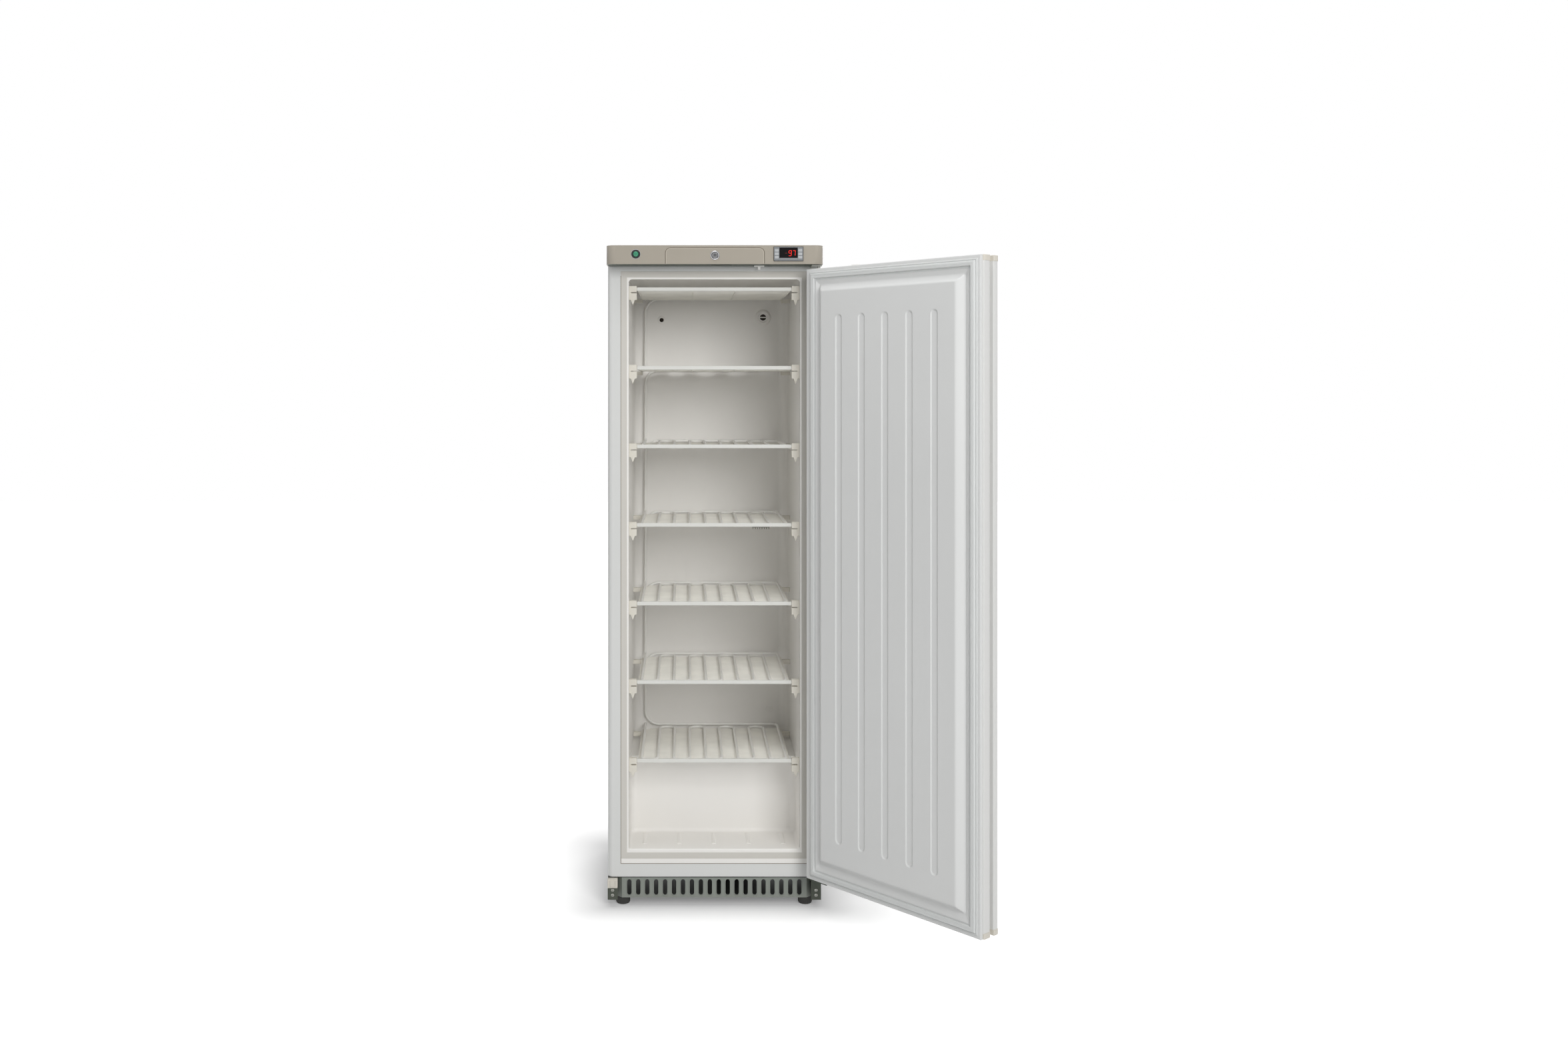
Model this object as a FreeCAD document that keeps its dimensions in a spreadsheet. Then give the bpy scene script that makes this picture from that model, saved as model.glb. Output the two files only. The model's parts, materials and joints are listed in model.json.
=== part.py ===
"""Upright freezer with evaporator shelves, a hinged door and a rear condenser.

Frame: +X to the right seen from the front, +Y to the rear, +Z up. The origin lies on the floor, under
the centre of the cabinet's footprint. The door is drawn closed and then swung to its rest position.
"""
import FreeCAD
import Part
import Sketcher
import math
import os
import re

Vector = FreeCAD.Vector
UP = Vector(0, 0, 1)

# Driving sizes in millimetres, angles in degrees: alias, value, meaning.
SIZES = (
    ("body_width", 600, "cabinet over its side panels"),
    ("body_depth", 524, "cabinet from its front face to its rear panel"),
    ("body_top", 1850, "top edge of the side panels"),
    ("skirt_height", 24, "lower edge of the side panels above the floor"),
    ("sheet", 1, "steel sheet of the cabinet"),
    ("side_return", 37, "folded front edge of a side panel"),
    ("side_fold", 14, "outer radius of that fold"),
    ("lid_height", 5, "top cover"),
    ("top_rail_height", 74, "height of the top rail"),
    ("bottom_rail_height", 37, "height of the bottom rail"),
    ("rail_bottom", 85, "lower edge of the bottom rail and of the insulated floor"),
    ("rail_foot", 60, "depth of the folded foot of the bottom rail"),
    ("flange", 2, "thickness of the liner's front flange"),
    ("side_wall", 59, "side face of the cabinet to the storage space"),
    ("top_flange", 9, "liner flange over the opening"),
    ("sill_height", 36, "liner flange under the opening"),
    ("opening_corner", 10, "radius along the liner's long edges"),
    ("rear_wall", 54, "rear face of the cabinet to the storage space"),
    ("step_depth", 176, "front face to the step over the machine room"),
    ("step_height", 222, "height of the step over the machine room"),
    ("liner_wall", 2, "wall of the liner"),
    ("cavity_corner", 30, "radius of the liner's rear corners"),
    ("step_corner", 20, "radius of the step's edges"),
    ("lip_height", 5, "half-round lip at the front of the cabinet floor"),
    ("floor_rib_count", 5, "ribs in the cabinet floor"),
    ("floor_rib_pitch", 99, "distance between them"),
    ("floor_rib_radius", 9, "round section of a rib, mostly sunk"),
    ("floor_rib_length", 96, "length of a rib"),
    ("floor_rib_height", 2.5, "height of a rib"),
    ("room_roof", 62, "step to the ceiling of the machine room"),
    ("room_wall", 58, "insulation between step and machine room"),
    ("tray_height", 28, "underside of the base tray"),
    ("tray_sheet", 2, "sheet of the base tray"),
    ("tray_rim", 40, "rear rim of the base tray"),
    ("boss_radius", 11, "weld nut over each foot"),
    ("boss_height", 10, "height of that nut"),
    ("grille_inset", 26, "grille from the sides of the cabinet"),
    ("grille_bottom", 25, "lower edge of the grille"),
    ("grille_gap", 4, "grille under the bottom rail"),
    ("grille_sheet", 1.5, "sheet of the grille"),
    ("grille_setback", 4, "grille behind the cabinet's front face"),
    ("grille_bevel", 14, "width and depth of its bevelled ends"),
    ("slot_count", 20, "slots in the grille"),
    ("slot_margin_side", 34.6, "end slot from the end of the grille"),
    ("slot_width", 12.2, "width of a slot"),
    ("slot_margin_low", 7, "plain strip under the slots"),
    ("slot_margin_high", 4.5, "plain strip over the slots"),
    ("foot_radius", 20, "radius of a foot"),
    ("foot_height", 27, "height of a foot's pad"),
    ("foot_edge", 4, "bevel round the lower edge of a foot"),
    ("stem_radius", 5, "threaded stem of a foot"),
    ("stem_length", 31, "length of that stem over the pad"),
    ("foot_inset_side", 42, "foot centre from the cabinet's side"),
    ("foot_inset_front", 36, "foot centre from the front face"),
    ("foot_inset_rear", 40, "foot centre from the rear"),
    ("fit", 0.05, "radial clearance of running fits"),
    ("gap", 0.4, "clearance between parts that move past each other"),
    ("header_height", 52, "height of the header"),
    ("header_depth", 78, "header in front of the cabinet's front face"),
    ("header_wall", 3, "wall of the header"),
    ("header_corner", 24, "radius of its front corners"),
    ("zone_inset", 163.5, "raised zone from the sides of the header"),
    ("zone_top_margin", 7, "plain strip over that zone"),
    ("zone_corner", 13.5, "radius of its upper corners"),
    ("zone_rise", 1, "how far it stands out"),
    ("base_plate", 2, "plate that closes the header from below"),
    ("lock_rise", 24, "axis of the lock over the lower edge of the header"),
    ("lock_radius", 13, "chrome collar of the lock"),
    ("lock_body_radius", 9, "lock housing behind the header"),
    ("lock_body_length", 24, "length of that housing"),
    ("lock_collar", 3, "thickness of the collar"),
    ("barrel_radius", 6, "turning barrel"),
    ("tongue_reach", 44, "lock axis to the end of the tongue"),
    ("tongue_width", 12, "width of the tongue"),
    ("tongue_sheet", 3, "thickness of the tongue"),
    ("key_slot_width", 1.6, "key slot in the barrel"),
    ("key_slot_height", 7, "height of that slot"),
    ("switch_inset", 81.5, "lamp switch from the side of the header"),
    ("switch_rise", 27.5, "lamp switch over the lower edge of the header"),
    ("bezel_radius", 12.5, "black rim of the lamp switch"),
    ("bezel_rise", 2, "thickness of the rim"),
    ("switch_barrel_length", 22, "switch barrel behind the header"),
    ("button_radius", 8.5, "green button"),
    ("button_travel", 3, "travel of the button"),
    ("controller_inset", 97, "controller from the side of the header"),
    ("controller_rise", 28, "controller over the lower edge of the header"),
    ("case_width", 82, "front frame of the controller"),
    ("case_height", 40, "height of that frame"),
    ("case_rise", 3, "thickness of that frame"),
    ("case_body_width", 70, "controller body behind the header"),
    ("case_body_height", 29, "height of that body"),
    ("case_body_depth", 52, "depth of that body"),
    ("window_width", 50, "display window"),
    ("window_height", 28, "height of the window"),
    ("window_shift", 3, "window above the middle of the frame"),
    ("key_width", 11, "one controller key"),
    ("key_height", 7, "height of a key"),
    ("key_pitch", 9.5, "distance between keys in a column"),
    ("key_offset", 32.5, "key column from the middle of the frame"),
    ("key_rise", 1.2, "how far a key stands out"),
    ("key_travel", 0.8, "travel of a key"),
    ("peg_x", 125, "centre of the door switch peg"),
    ("peg_setback", 24, "peg in front of the cabinet's front face"),
    ("peg_radius", 4, "radius of the peg"),
    ("peg_plate_width", 28, "plate of the door switch"),
    ("peg_plate_height", 3, "thickness of that plate"),
    ("door_side_gap", 1, "door inside the sides of the cabinet"),
    ("door_rise", 21, "door over the lower edge of the bottom rail"),
    ("door_top_gap", 14, "door under the header"),
    ("door_gap", 8, "door liner to the cabinet's front face when closed"),
    ("door_skin_wall", 1.2, "skin of the door"),
    ("door_border", 7, "door liner inside the skin's side faces"),
    ("door_open_angle", 131.2, "rest position of the door, from closed"),
    ("pivot_inset", 10, "hinge axis from the cabinet's side"),
    ("pivot_forward", 50, "hinge axis in front of the front face"),
    ("pin_radius", 4, "hinge pins"),
    ("pin_length", 22, "hinge pin inside the door"),
    ("bush_radius", 8, "hinge bush"),
    ("bush_flange_radius", 11, "flange of the bush"),
    ("bush_flange", 2, "thickness of that flange"),
    ("door_plate", 3, "hinge plate under the door"),
    ("door_plate_length", 74, "length of that plate"),
    ("door_plate_depth", 52, "depth of that plate"),
    ("door_plate_inset", 2, "plate behind the liner's inner face"),
    ("bracket_sheet", 4, "sheet of the hinge brackets"),
    ("bracket_width", 28, "width of the brackets"),
    ("bracket_low", 21, "lower edge of the lower brackets"),
    ("screw_inset", 13, "lower screw from the lower edge of its bracket"),
    ("screw_spacing", 14, "distance between two bracket screws"),
    ("screw_margin", 9, "upper screw to the upper edge of the spare bracket"),
    ("cover_depth", 14, "beige cover block on the left"),
    ("cover_emboss", 1.5, "raised square on that block"),
    ("screw_head_radius", 4.5, "head of a bracket screw"),
    ("screw_head_height", 2.5, "height of that head"),
    ("panel_inset", 44, "door liner edge to the foot of its raised panel"),
    ("panel_inset_low", 50, "the same at the lower edge"),
    ("panel_bevel", 22, "width of that panel's bevel"),
    ("panel_rise", 18, "height of that panel"),
    ("door_liner_wall", 4, "wall of the door liner"),
    ("groove_count", 5, "grooves in the door liner"),
    ("groove_pitch", 81, "distance between the grooves"),
    ("groove_width", 21, "width of a groove"),
    ("groove_depth", 2.5, "depth of a groove"),
    ("groove_margin_low", 130, "door edge to the lower end of the grooves"),
    ("groove_margin_high", 131, "upper end of the grooves to the door edge"),
    ("gasket_inset", 9, "door liner edge to the gasket"),
    ("gasket_width", 24, "foot of the gasket"),
    ("gasket_foot", 3, "thickness of that foot"),
    ("gasket_bead", 12, "width of the magnet bead"),
    ("handle_width", 23, "handle strip seen from the front"),
    ("handle_rib", 25, "wide rib of the strip, towards the liner"),
    ("handle_start", 9, "liner's inner face to that rib"),
    ("handle_proud", 3, "how far the strip stands out from the liner's edge"),
    ("handle_groove", 14, "finger groove of the strip"),
    ("handle_groove_depth", 15, "depth of that groove"),
    ("handle_round", 9, "rounded front edge of the strip"),
    ("cap_height", 14, "end cap of the strip"),
    ("cap_lip", 1.5, "how far the cap stands out"),
    ("striker_shift", 6, "striker beside the door switch peg"),
    ("striker_width", 44, "length of the striker along the door"),
    ("striker_crest", 17, "flat crest of the striker"),
    ("striker_depth", 16, "striker across the door's thickness"),
    ("striker_height", 3, "height of the striker"),
    ("keeper_drop", 12, "depth of the lock slot below the door's top"),
    ("shelf_count", 7, "evaporator shelves"),
    ("top_shelf_drop", 26.6, "highest front rail under the ceiling"),
    ("shelf_rise", 26, "lowest front rail over the step"),
    ("shelf_front", 22, "front rail centre behind the front face"),
    ("shelf_rear_gap", 47, "rear bends from the rear wall"),
    ("pass_count", 10, "tube passes of a shelf"),
    ("pass_inset", 35.35, "outer passes from the walls"),
    ("tube_radius", 4, "evaporator tube"),
    ("riser_inset", 12, "rear run of the tube from the rear wall"),
    ("riser_lean", 10, "forward lean of the tube between two shelves"),
    ("riser_bend", 42, "bend radius of the rear run down to the next shelf"),
    ("entry_bend", 10, "bend radius of that tube into the left-hand pass"),
    ("wire_count", 12, "cross wires of a shelf"),
    ("wire_width", 1.8, "width of a cross wire"),
    ("wire_height", 1.6, "height of a cross wire"),
    ("wire_inset", 25, "cross wires from the walls"),
    ("wire_border", 3, "width of the side wires"),
    ("wire_setback", 22, "first cross wire behind the front rail"),
    ("rail_inset", 22, "front rail from the walls"),
    ("rail_height", 10.5, "height of that rail"),
    ("rail_depth", 7, "depth of that rail"),
    ("clip_height", 17, "upper block of a shelf clip"),
    ("clip_lower", 19, "lower block of a shelf clip"),
    ("clip_gap", 3, "notch between the blocks"),
    ("clip_tip", 15, "pointed end of a clip"),
    ("clip_depth", 16, "depth of a clip"),
    ("rear_clip_length", 14, "rear clip along the wall"),
    ("rear_clip_height", 12, "height of a rear clip"),
    ("rear_clip_margin", 41, "rear clip in front of the rear bends"),
    ("vent_inset", 78, "vent cap in the rear wall from the opening's right edge"),
    ("vent_drop", 84, "its centre under the ceiling"),
    ("vent_radius", 25, "radius of the cap"),
    ("vent_thickness", 7, "thickness of the cap"),
    ("vent_slot", 5, "slot across the cap"),
    ("sensor_inset", 85, "sensor grommet in the rear wall from the opening's left edge"),
    ("sensor_drop", 92, "its centre under the ceiling"),
    ("sensor_radius", 13, "radius of the grommet"),
    ("sensor_bore", 7.5, "hole in the grommet"),
    ("sensor_thickness", 3, "thickness of the grommet"),
    ("plug_inset", 59, "plug in the rear wall from the opening's right edge"),
    ("plug_rise", 72, "its centre over the step"),
    ("plug_radius", 11, "radius of the plug"),
    ("plug_thickness", 2, "thickness of the plug"),
    ("condenser_rise", 32, "lowest pass over the machine room"),
    ("condenser_drop", 300, "highest pass under the top of the cabinet"),
    ("condenser_count", 16, "passes of the condenser"),
    ("condenser_inset", 80, "condenser from the sides of the cabinet"),
    ("condenser_standoff", 18, "tube centre behind the rear panel"),
    ("condenser_bend", 20, "bend radius of the condenser tube"),
    ("condenser_radius", 2.8, "condenser tube"),
    ("condenser_wires", 28, "upright wires of the condenser"),
    ("condenser_wire", 1.6, "size of such a wire"),
    ("spacer_width", 14, "spacer that holds the condenser"),
    ("compressor_x", 60, "centre of the compressor"),
    ("compressor_back", 130, "that centre in front of the rear panel"),
    ("compressor_radius", 78, "compressor shell"),
    ("compressor_height", 170, "height of the shell"),
    ("compressor_dome", 45, "height of its domed end"),
    ("grommet_radius", 12, "rubber grommet"),
    ("grommet_height", 12, "height of a grommet"),
    ("grommet_spread", 95, "grommet from the compressor's centre, left and right"),
    ("grommet_depth", 50, "grommet from the compressor's centre, front and rear"),
    ("base_bar", 4, "compressor foot plate"),
    ("terminal_width", 60, "terminal cover"),
    ("terminal_height", 64, "height of that cover"),
    ("terminal_depth", 32, "how far it stands out"),
    ("line_bend", 12, "bend radius of the drier's lines"),
    ("line_drop", 28, "level run of the lines above and below the drier"),
    ("line_shift", 40, "sideways run of the upper line"),
    ("line_radius", 3, "refrigerant lines"),
    ("drier_radius", 9, "filter drier"),
    ("drier_length", 90, "length of the drier"),
    ("gland_inset", 65, "gland from the side of the cabinet"),
    ("gland_radius", 8, "gland thread"),
    ("gland_bore", 4, "hole for the cable"),
    ("gland_flange", 12, "flange of the gland"),
    ("gland_length", 20, "length of the gland"),
)

# Sizes that follow from others.
TIES = (
    ("seam_top", "body_top - top_rail_height", "joint between liner flange and top rail"),
    ("header_bottom", "body_top + lid_height - header_height", "lower edge of the header"),
    ("seam_bottom", "rail_bottom + bottom_rail_height", "joint between liner flange and bottom rail"),
    ("opening_width", "body_width - side_wall * 2", "clear width of the cabinet"),
    ("opening_top", "seam_top - top_flange", "upper edge of the opening"),
    ("opening_bottom", "seam_bottom + sill_height", "upper face of the cabinet floor"),
    ("cavity_depth", "body_depth - rear_wall", "front face to the rear wall of the liner"),
    ("step_top", "opening_bottom + step_height", "upper face of that step"),
    ("room_top", "step_top - room_roof", "ceiling of the machine room"),
    ("grille_width", "body_width - grille_inset * 2", "plinth grille"),
    ("grille_top", "rail_bottom - grille_gap", "upper edge of the grille"),
    ("slot_low", "grille_bottom + slot_margin_low", "lower end of a slot"),
    ("slot_high", "grille_top - slot_margin_high", "upper end of a slot"),
    ("slot_pitch", "(grille_width - slot_margin_side * 2) / (slot_count - 1)", "distance between slots"),
    ("stem_height", "foot_height + stem_length", "top of that stem"),
    ("lock_height", "header_bottom + lock_rise", "axis of the lock"),
    ("switch_x", "switch_inset - body_width / 2", "centre of the lamp switch"),
    ("switch_height", "header_bottom + switch_rise", "height of that centre"),
    ("controller_x", "body_width / 2 - controller_inset", "centre of the temperature controller"),
    ("controller_height", "header_bottom + controller_rise", "height of that centre"),
    ("door_width", "body_width - door_side_gap * 2", "door over its skin"),
    ("door_bottom", "rail_bottom + door_rise", "lower edge of the door"),
    ("door_top", "header_bottom - door_top_gap", "upper edge of the door"),
    ("bracket_screw_low", "bracket_low + screw_inset", "lower screw of a bracket"),
    ("bracket_screw_high", "bracket_screw_low + screw_spacing", "upper screw of a bracket"),
    ("spare_bracket_top", "bracket_screw_high + screw_margin", "upper edge of the spare bracket"),
    ("groove_low", "door_bottom + groove_margin_low", "lower end of the grooves"),
    ("groove_high", "door_top - groove_margin_high", "upper end of the grooves"),
    ("striker_x", "peg_x - striker_shift", "centre of the switch striker on the door"),
    ("shelf_low", "step_top + shelf_rise", "centre of the lowest front rail"),
    ("shelf_pitch", "(opening_top - top_shelf_drop - shelf_low) / (shelf_count - 1)", "distance between shelves"),
    ("shelf_depth", "cavity_depth - shelf_front - shelf_rear_gap", "front rail centre to the rear bends"),
    ("rear_clip_setback", "shelf_depth - rear_clip_margin", "rear clip behind the front rail"),
    ("pass_pitch", "(opening_width - pass_inset * 2) / (pass_count - 1)", "distance between passes"),
    ("wire_span", "opening_width - wire_inset * 2", "length of the cross wires"),
    ("rail_length", "opening_width - rail_inset * 2", "front rail of a shelf"),
    ("vent_x", "opening_width / 2 - vent_inset", "centre of the vent cap"),
    ("vent_height", "opening_top - vent_drop", "height of its centre"),
    ("sensor_x", "sensor_inset - opening_width / 2", "centre of the sensor grommet"),
    ("sensor_height", "opening_top - sensor_drop", "height of its centre"),
    ("plug_x", "opening_width / 2 - plug_inset", "centre of the plug"),
    ("plug_height", "step_top + plug_rise", "height of its centre"),
    ("condenser_low", "room_top + condenser_rise", "lowest pass of the condenser"),
    ("condenser_pitch", "(body_top - condenser_drop - condenser_low) / (condenser_count - 1)", "distance between its passes"),
    ("condenser_width", "body_width - condenser_inset * 2", "width over its bends"),
    ("gland_x", "gland_inset - body_width / 2", "cable gland in the tray's rim"),
    ("zone_width", "body_width - zone_inset * 2", "raised zone in the middle of the header"),
)

doc = FreeCAD.newDocument("UprightFreezer")
sheet = doc.addObject("Spreadsheet::Sheet", "Sizes")
for line, (alias, value, meaning) in enumerate(SIZES, start=1):
    sheet.set(f"A{line}", meaning)
    sheet.set(f"B{line}", str(value))
    sheet.setAlias(f"B{line}", alias)
for line, (alias, formula, meaning) in enumerate(TIES, start=len(SIZES) + 1):
    sheet.set(f"A{line}", meaning)
    sheet.set(f"B{line}", "=" + formula)
    sheet.setAlias(f"B{line}", alias)
doc.recompute()


class Values:
    """The numbers of the sheet under their aliases."""


v = Values()
for alias, _, _ in SIZES + TIES:
    setattr(v, alias, float(sheet.get(alias)))

ALIASES = {alias for alias, _, _ in SIZES + TIES}
TUBE_SIDES = 6
ROUND = 24
SMALL_ROUND = 12
HEXAGON = 6
END_STEPS = 4
BEND_STEPS = 2
PARTS = {}

# Places that several pieces share, as expressions for the bound sizes.
FRONT = "(-body_depth / 2)"
REAR = "(body_depth / 2)"
SIDE = "(body_width / 2)"
INNER = "(body_width / 2 - sheet)"
SEAM = "(body_width / 2 - side_return)"
ROOM_FRONT = "(step_depth + room_wall - body_depth / 2)"
HEADER_FRONT = "(-body_depth / 2 - header_depth)"
HEADER_TOP = "(body_top + lid_height)"
PIVOT_X = "(body_width / 2 - pivot_inset)"
PIVOT_Y = "(-body_depth / 2 - pivot_forward)"

# The same places as numbers, for the shapes that are worked out.
front = -v.body_depth / 2
rear = v.body_depth / 2
header_front = front - v.header_depth
header_top = v.body_top + v.lid_height
zone_front = header_front - v.zone_rise
door_front = header_front
door_inner = front - v.door_gap
liner_edge = v.door_width / 2 - v.door_border
pivot = Vector(v.body_width / 2 - v.pivot_inset, front - v.pivot_forward, 0)
cavity_rear = front + v.cavity_depth
rail_y = front + v.shelf_front
rail_end = v.rail_length / 2
shelf_heights = [v.shelf_low + i * v.shelf_pitch for i in range(int(v.shelf_count))]


def sized(text):
    """An expression with each alias pointed at the sheet."""
    return re.sub(r"[a-z_]+", lambda word: ("Sizes." if word.group() in ALIASES else "") + word.group(), text)


def part(label, obj):
    """Give a finished sub-part the label that names its file."""
    obj.Label = label
    PARTS[label] = obj
    return obj


def block(label, x, y, z):
    """A box between a low and a high expression on each axis."""
    box = doc.addObject("Part::Box", label)
    for axis, side, (low, high) in zip("xyz", ("Length", "Width", "Height"), (x, y, z)):
        box.setExpression(f"Placement.Base.{axis}", sized(low))
        box.setExpression(side, sized(f"({high}) - ({low})"))
    return box


TURNS = {"x": (Vector(0, 1, 0), 90), "y": (Vector(1, 0, 0), -90), "z": (UP, 0)}


def rod(label, axis, base, radius, length, sides=0):
    """A cylinder, or a prism of so many sides, from a base point along +X, +Y or +Z."""
    cylinder = doc.addObject("Part::Prism" if sides else "Part::Cylinder", label)
    if sides:
        cylinder.Polygon = int(sides)
    cylinder.Placement.Rotation = FreeCAD.Rotation(*TURNS[axis])
    for letter, text in zip("xyz", base):
        cylinder.setExpression(f"Placement.Base.{letter}", sized(text))
    cylinder.setExpression("Circumradius" if sides else "Radius", sized(radius))
    cylinder.setExpression("Height", sized(length))
    return cylinder


def fuse(label, *pieces):
    union = doc.addObject("Part::MultiFuse", label)
    union.Shapes = list(pieces)
    return union


def cut(label, base, *tools):
    """The base without the tools."""
    difference = doc.addObject("Part::Cut", label)
    difference.Base = base
    difference.Tool = tools[0] if len(tools) == 1 else fuse(label + "_tools", *tools)
    return difference


def solid(label, shape):
    feature = doc.addObject("Part::Feature", label)
    feature.Shape = shape
    return feature


def outline(label, plane, corners, low, high):
    """A body: a closed outline of straight sides on an origin plane, padded from low to high.

    Each corner is held by its two distances from the origin, so the first guess may be any polygon.
    """
    body = doc.addObject("PartDesign::Body", label)
    sketch = body.newObject("Sketcher::SketchObject", label + "_outline")
    origin_plane = [item for item in body.Origin.OriginFeatures if item.Role == plane + "_Plane"][0]
    sketch.AttachmentSupport = [(origin_plane, "")]
    sketch.MapMode = "FlatFace"
    count = len(corners)
    guess = [Vector(0, 100, 0) for _ in corners]
    guess = [FreeCAD.Rotation(UP, 360 * i / count + 7).multVec(point) for i, point in enumerate(guess)]
    for i in range(count):
        sketch.addGeometry(Part.LineSegment(guess[i], guess[(i + 1) % count]), False)
    for i in range(count):
        sketch.addConstraint(Sketcher.Constraint("Coincident", i, 2, (i + 1) % count, 1))
    for i, (across, upward) in enumerate(corners):
        for kind, value, text in (("DistanceX", guess[i].x, across), ("DistanceY", guess[i].y, upward)):
            number = sketch.addConstraint(Sketcher.Constraint(kind, i, 1, value))
            sketch.setExpression(f"Constraints[{number}]", sized(text))
    sketch.setExpression("AttachmentOffset.Base.z", sized(f"-({high})" if plane == "XZ" else low))
    pad = body.newObject("PartDesign::Pad", label + "_pad")
    pad.Profile = sketch
    pad.setExpression("Length", sized(f"({high}) - ({low})"))
    doc.recompute()
    return body


def fold(body, label, radius, chosen):
    """Round the chosen edges of a body's last feature."""
    edges = [f"Edge{i}" for i, edge in enumerate(body.Tip.Shape.Edges, start=1) if chosen(edge)]
    sharp = body.Tip
    rounding = body.newObject("PartDesign::Fillet", label)
    rounding.Base = (sharp, edges)
    rounding.setExpression("Radius", sized(radius))
    doc.recompute()


def mirrored(label, source):
    mirror = doc.addObject("Part::Mirroring", label)
    mirror.Source = source
    mirror.Normal = Vector(1, 0, 0)
    return mirror


def upright_at(x, y):
    """Chooses the upright edge at a point of the plan."""
    return lambda edge: all(abs(p.X - x) < 0.01 and abs(p.Y - y) < 0.01 for p in edge.Vertexes)


def face_of(points):
    return Part.Face(Part.makePolygon(list(points) + [points[0]]))


def prism_y(corners, low, high):
    """A straight-sided XZ outline between two depths."""
    return face_of([Vector(x, low, z) for x, z in corners]).extrude(Vector(0, high - low, 0))


def frustum(low_box, high_box, low, high):
    """The solid between two upright rectangles (x0, x1, z0, z1) at two depths."""
    wires = []
    for (x0, x1, z0, z1), y in ((low_box, low), (high_box, high)):
        wires.append(Part.makePolygon([Vector(x, y, z) for x, z in
                                       ((x0, z0), (x1, z0), (x1, z1), (x0, z1), (x0, z0))]))
    return Part.makeLoft(wires, True, True)


def stadium(x, half_width, low, high, depth_low, depth_high):
    """An upright slot with round ends of short chords, as a solid between two depths."""
    corners = []
    for centre, start in ((high - half_width, 0), (low + half_width, 180)):
        for k in range(END_STEPS + 1):
            spoke = FreeCAD.Rotation(UP, start + 180 * k / END_STEPS).multVec(Vector(half_width, 0, 0))
            corners.append((x + spoke.x, centre + spoke.y))
    return prism_y(corners, depth_low, depth_high)


def plan_with_round_front(half_width, y_front, y_rear, radius, low, high):
    """A flat block whose two front corners are rounded in plan."""
    at = lambda a, b: Vector(a, b, low)
    w, r, k = half_width, radius, radius * (1 - math.sqrt(0.5))
    edges = [Part.LineSegment(at(w, y_rear), at(-w, y_rear)).toShape(),
             Part.LineSegment(at(-w, y_rear), at(-w, y_front + r)).toShape(),
             Part.Arc(at(-w, y_front + r), at(-w + k, y_front + k), at(-w + r, y_front)).toShape(),
             Part.LineSegment(at(-w + r, y_front), at(w - r, y_front)).toShape(),
             Part.Arc(at(w - r, y_front), at(w - k, y_front + k), at(w, y_front + r)).toShape(),
             Part.LineSegment(at(w, y_front + r), at(w, y_rear)).toShape()]
    return Part.Face(Part.Wire(edges)).extrude(Vector(0, 0, high - low))


def box_of(x0, x1, y0, y1, z0, z1):
    return Part.makeBox(x1 - x0, y1 - y0, z1 - z0, Vector(x0, y0, z0))


def rounded_route(points, radii):
    """A route whose corners are replaced by short chords of an arc, limited by the runs beside it."""
    route = [points[0]]
    for before, corner, after, radius in zip(points, points[1:], points[2:], radii[1:]):
        into, out = corner - before, after - corner
        room = min(radius, into.Length / 2, out.Length / 2)
        into.normalize()
        out.normalize()
        turn = into.getAngle(out)
        start, centre_side = corner - into * room, (out - into)
        centre_side.normalize()
        bend = room / math.tan(turn / 2)
        centre = corner + centre_side * (bend / math.cos(turn / 2))
        axis = into.cross(out)
        for k in range(BEND_STEPS + 1):
            spin = FreeCAD.Rotation(axis, math.degrees(turn) * k / BEND_STEPS)
            route.append(centre + spin.multVec(start - centre))
    route.append(points[-1])
    tidy = [route[0]]
    for point in route[1:]:
        if (point - tidy[-1]).Length > 0.01:
            tidy.append(point)
    return tidy


def print_least_gap(label, route, radius):
    """Measure and print a wound tube's length and its least gap to itself, on points along its middle. Two points
    count when the way along the tube is half as long again as the straight line, as beside a half turn."""
    points, way = [], 0
    for a, b in zip(route, route[1:]):
        count = math.ceil((b - a).Length / (3 * radius))
        for k in range(count):
            points.append((tuple(a + (b - a) * (k / count)), way + (b - a).Length * k / count))
        way += (b - a).Length
    least = min(math.dist(p, q) for i, (p, near) in enumerate(points) for q, far in points[i + 1:]
                if far - near > 1.5 * math.dist(p, q))
    print(f"{label}: {way / 1000:.2f} m of tube, least gap to itself {least - 2 * radius:.1f} mm")


def level_side(heading, across):
    """The side direction of a level run that turns the tube's flats least from where they were."""
    side = heading.cross(UP)
    side.normalize()
    turn = math.degrees(math.atan2(side.cross(across).dot(heading), side.dot(across)))
    flat = 360 / TUBE_SIDES
    return FreeCAD.Rotation(heading, round(turn / flat) * flat).multVec(side)


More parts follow.
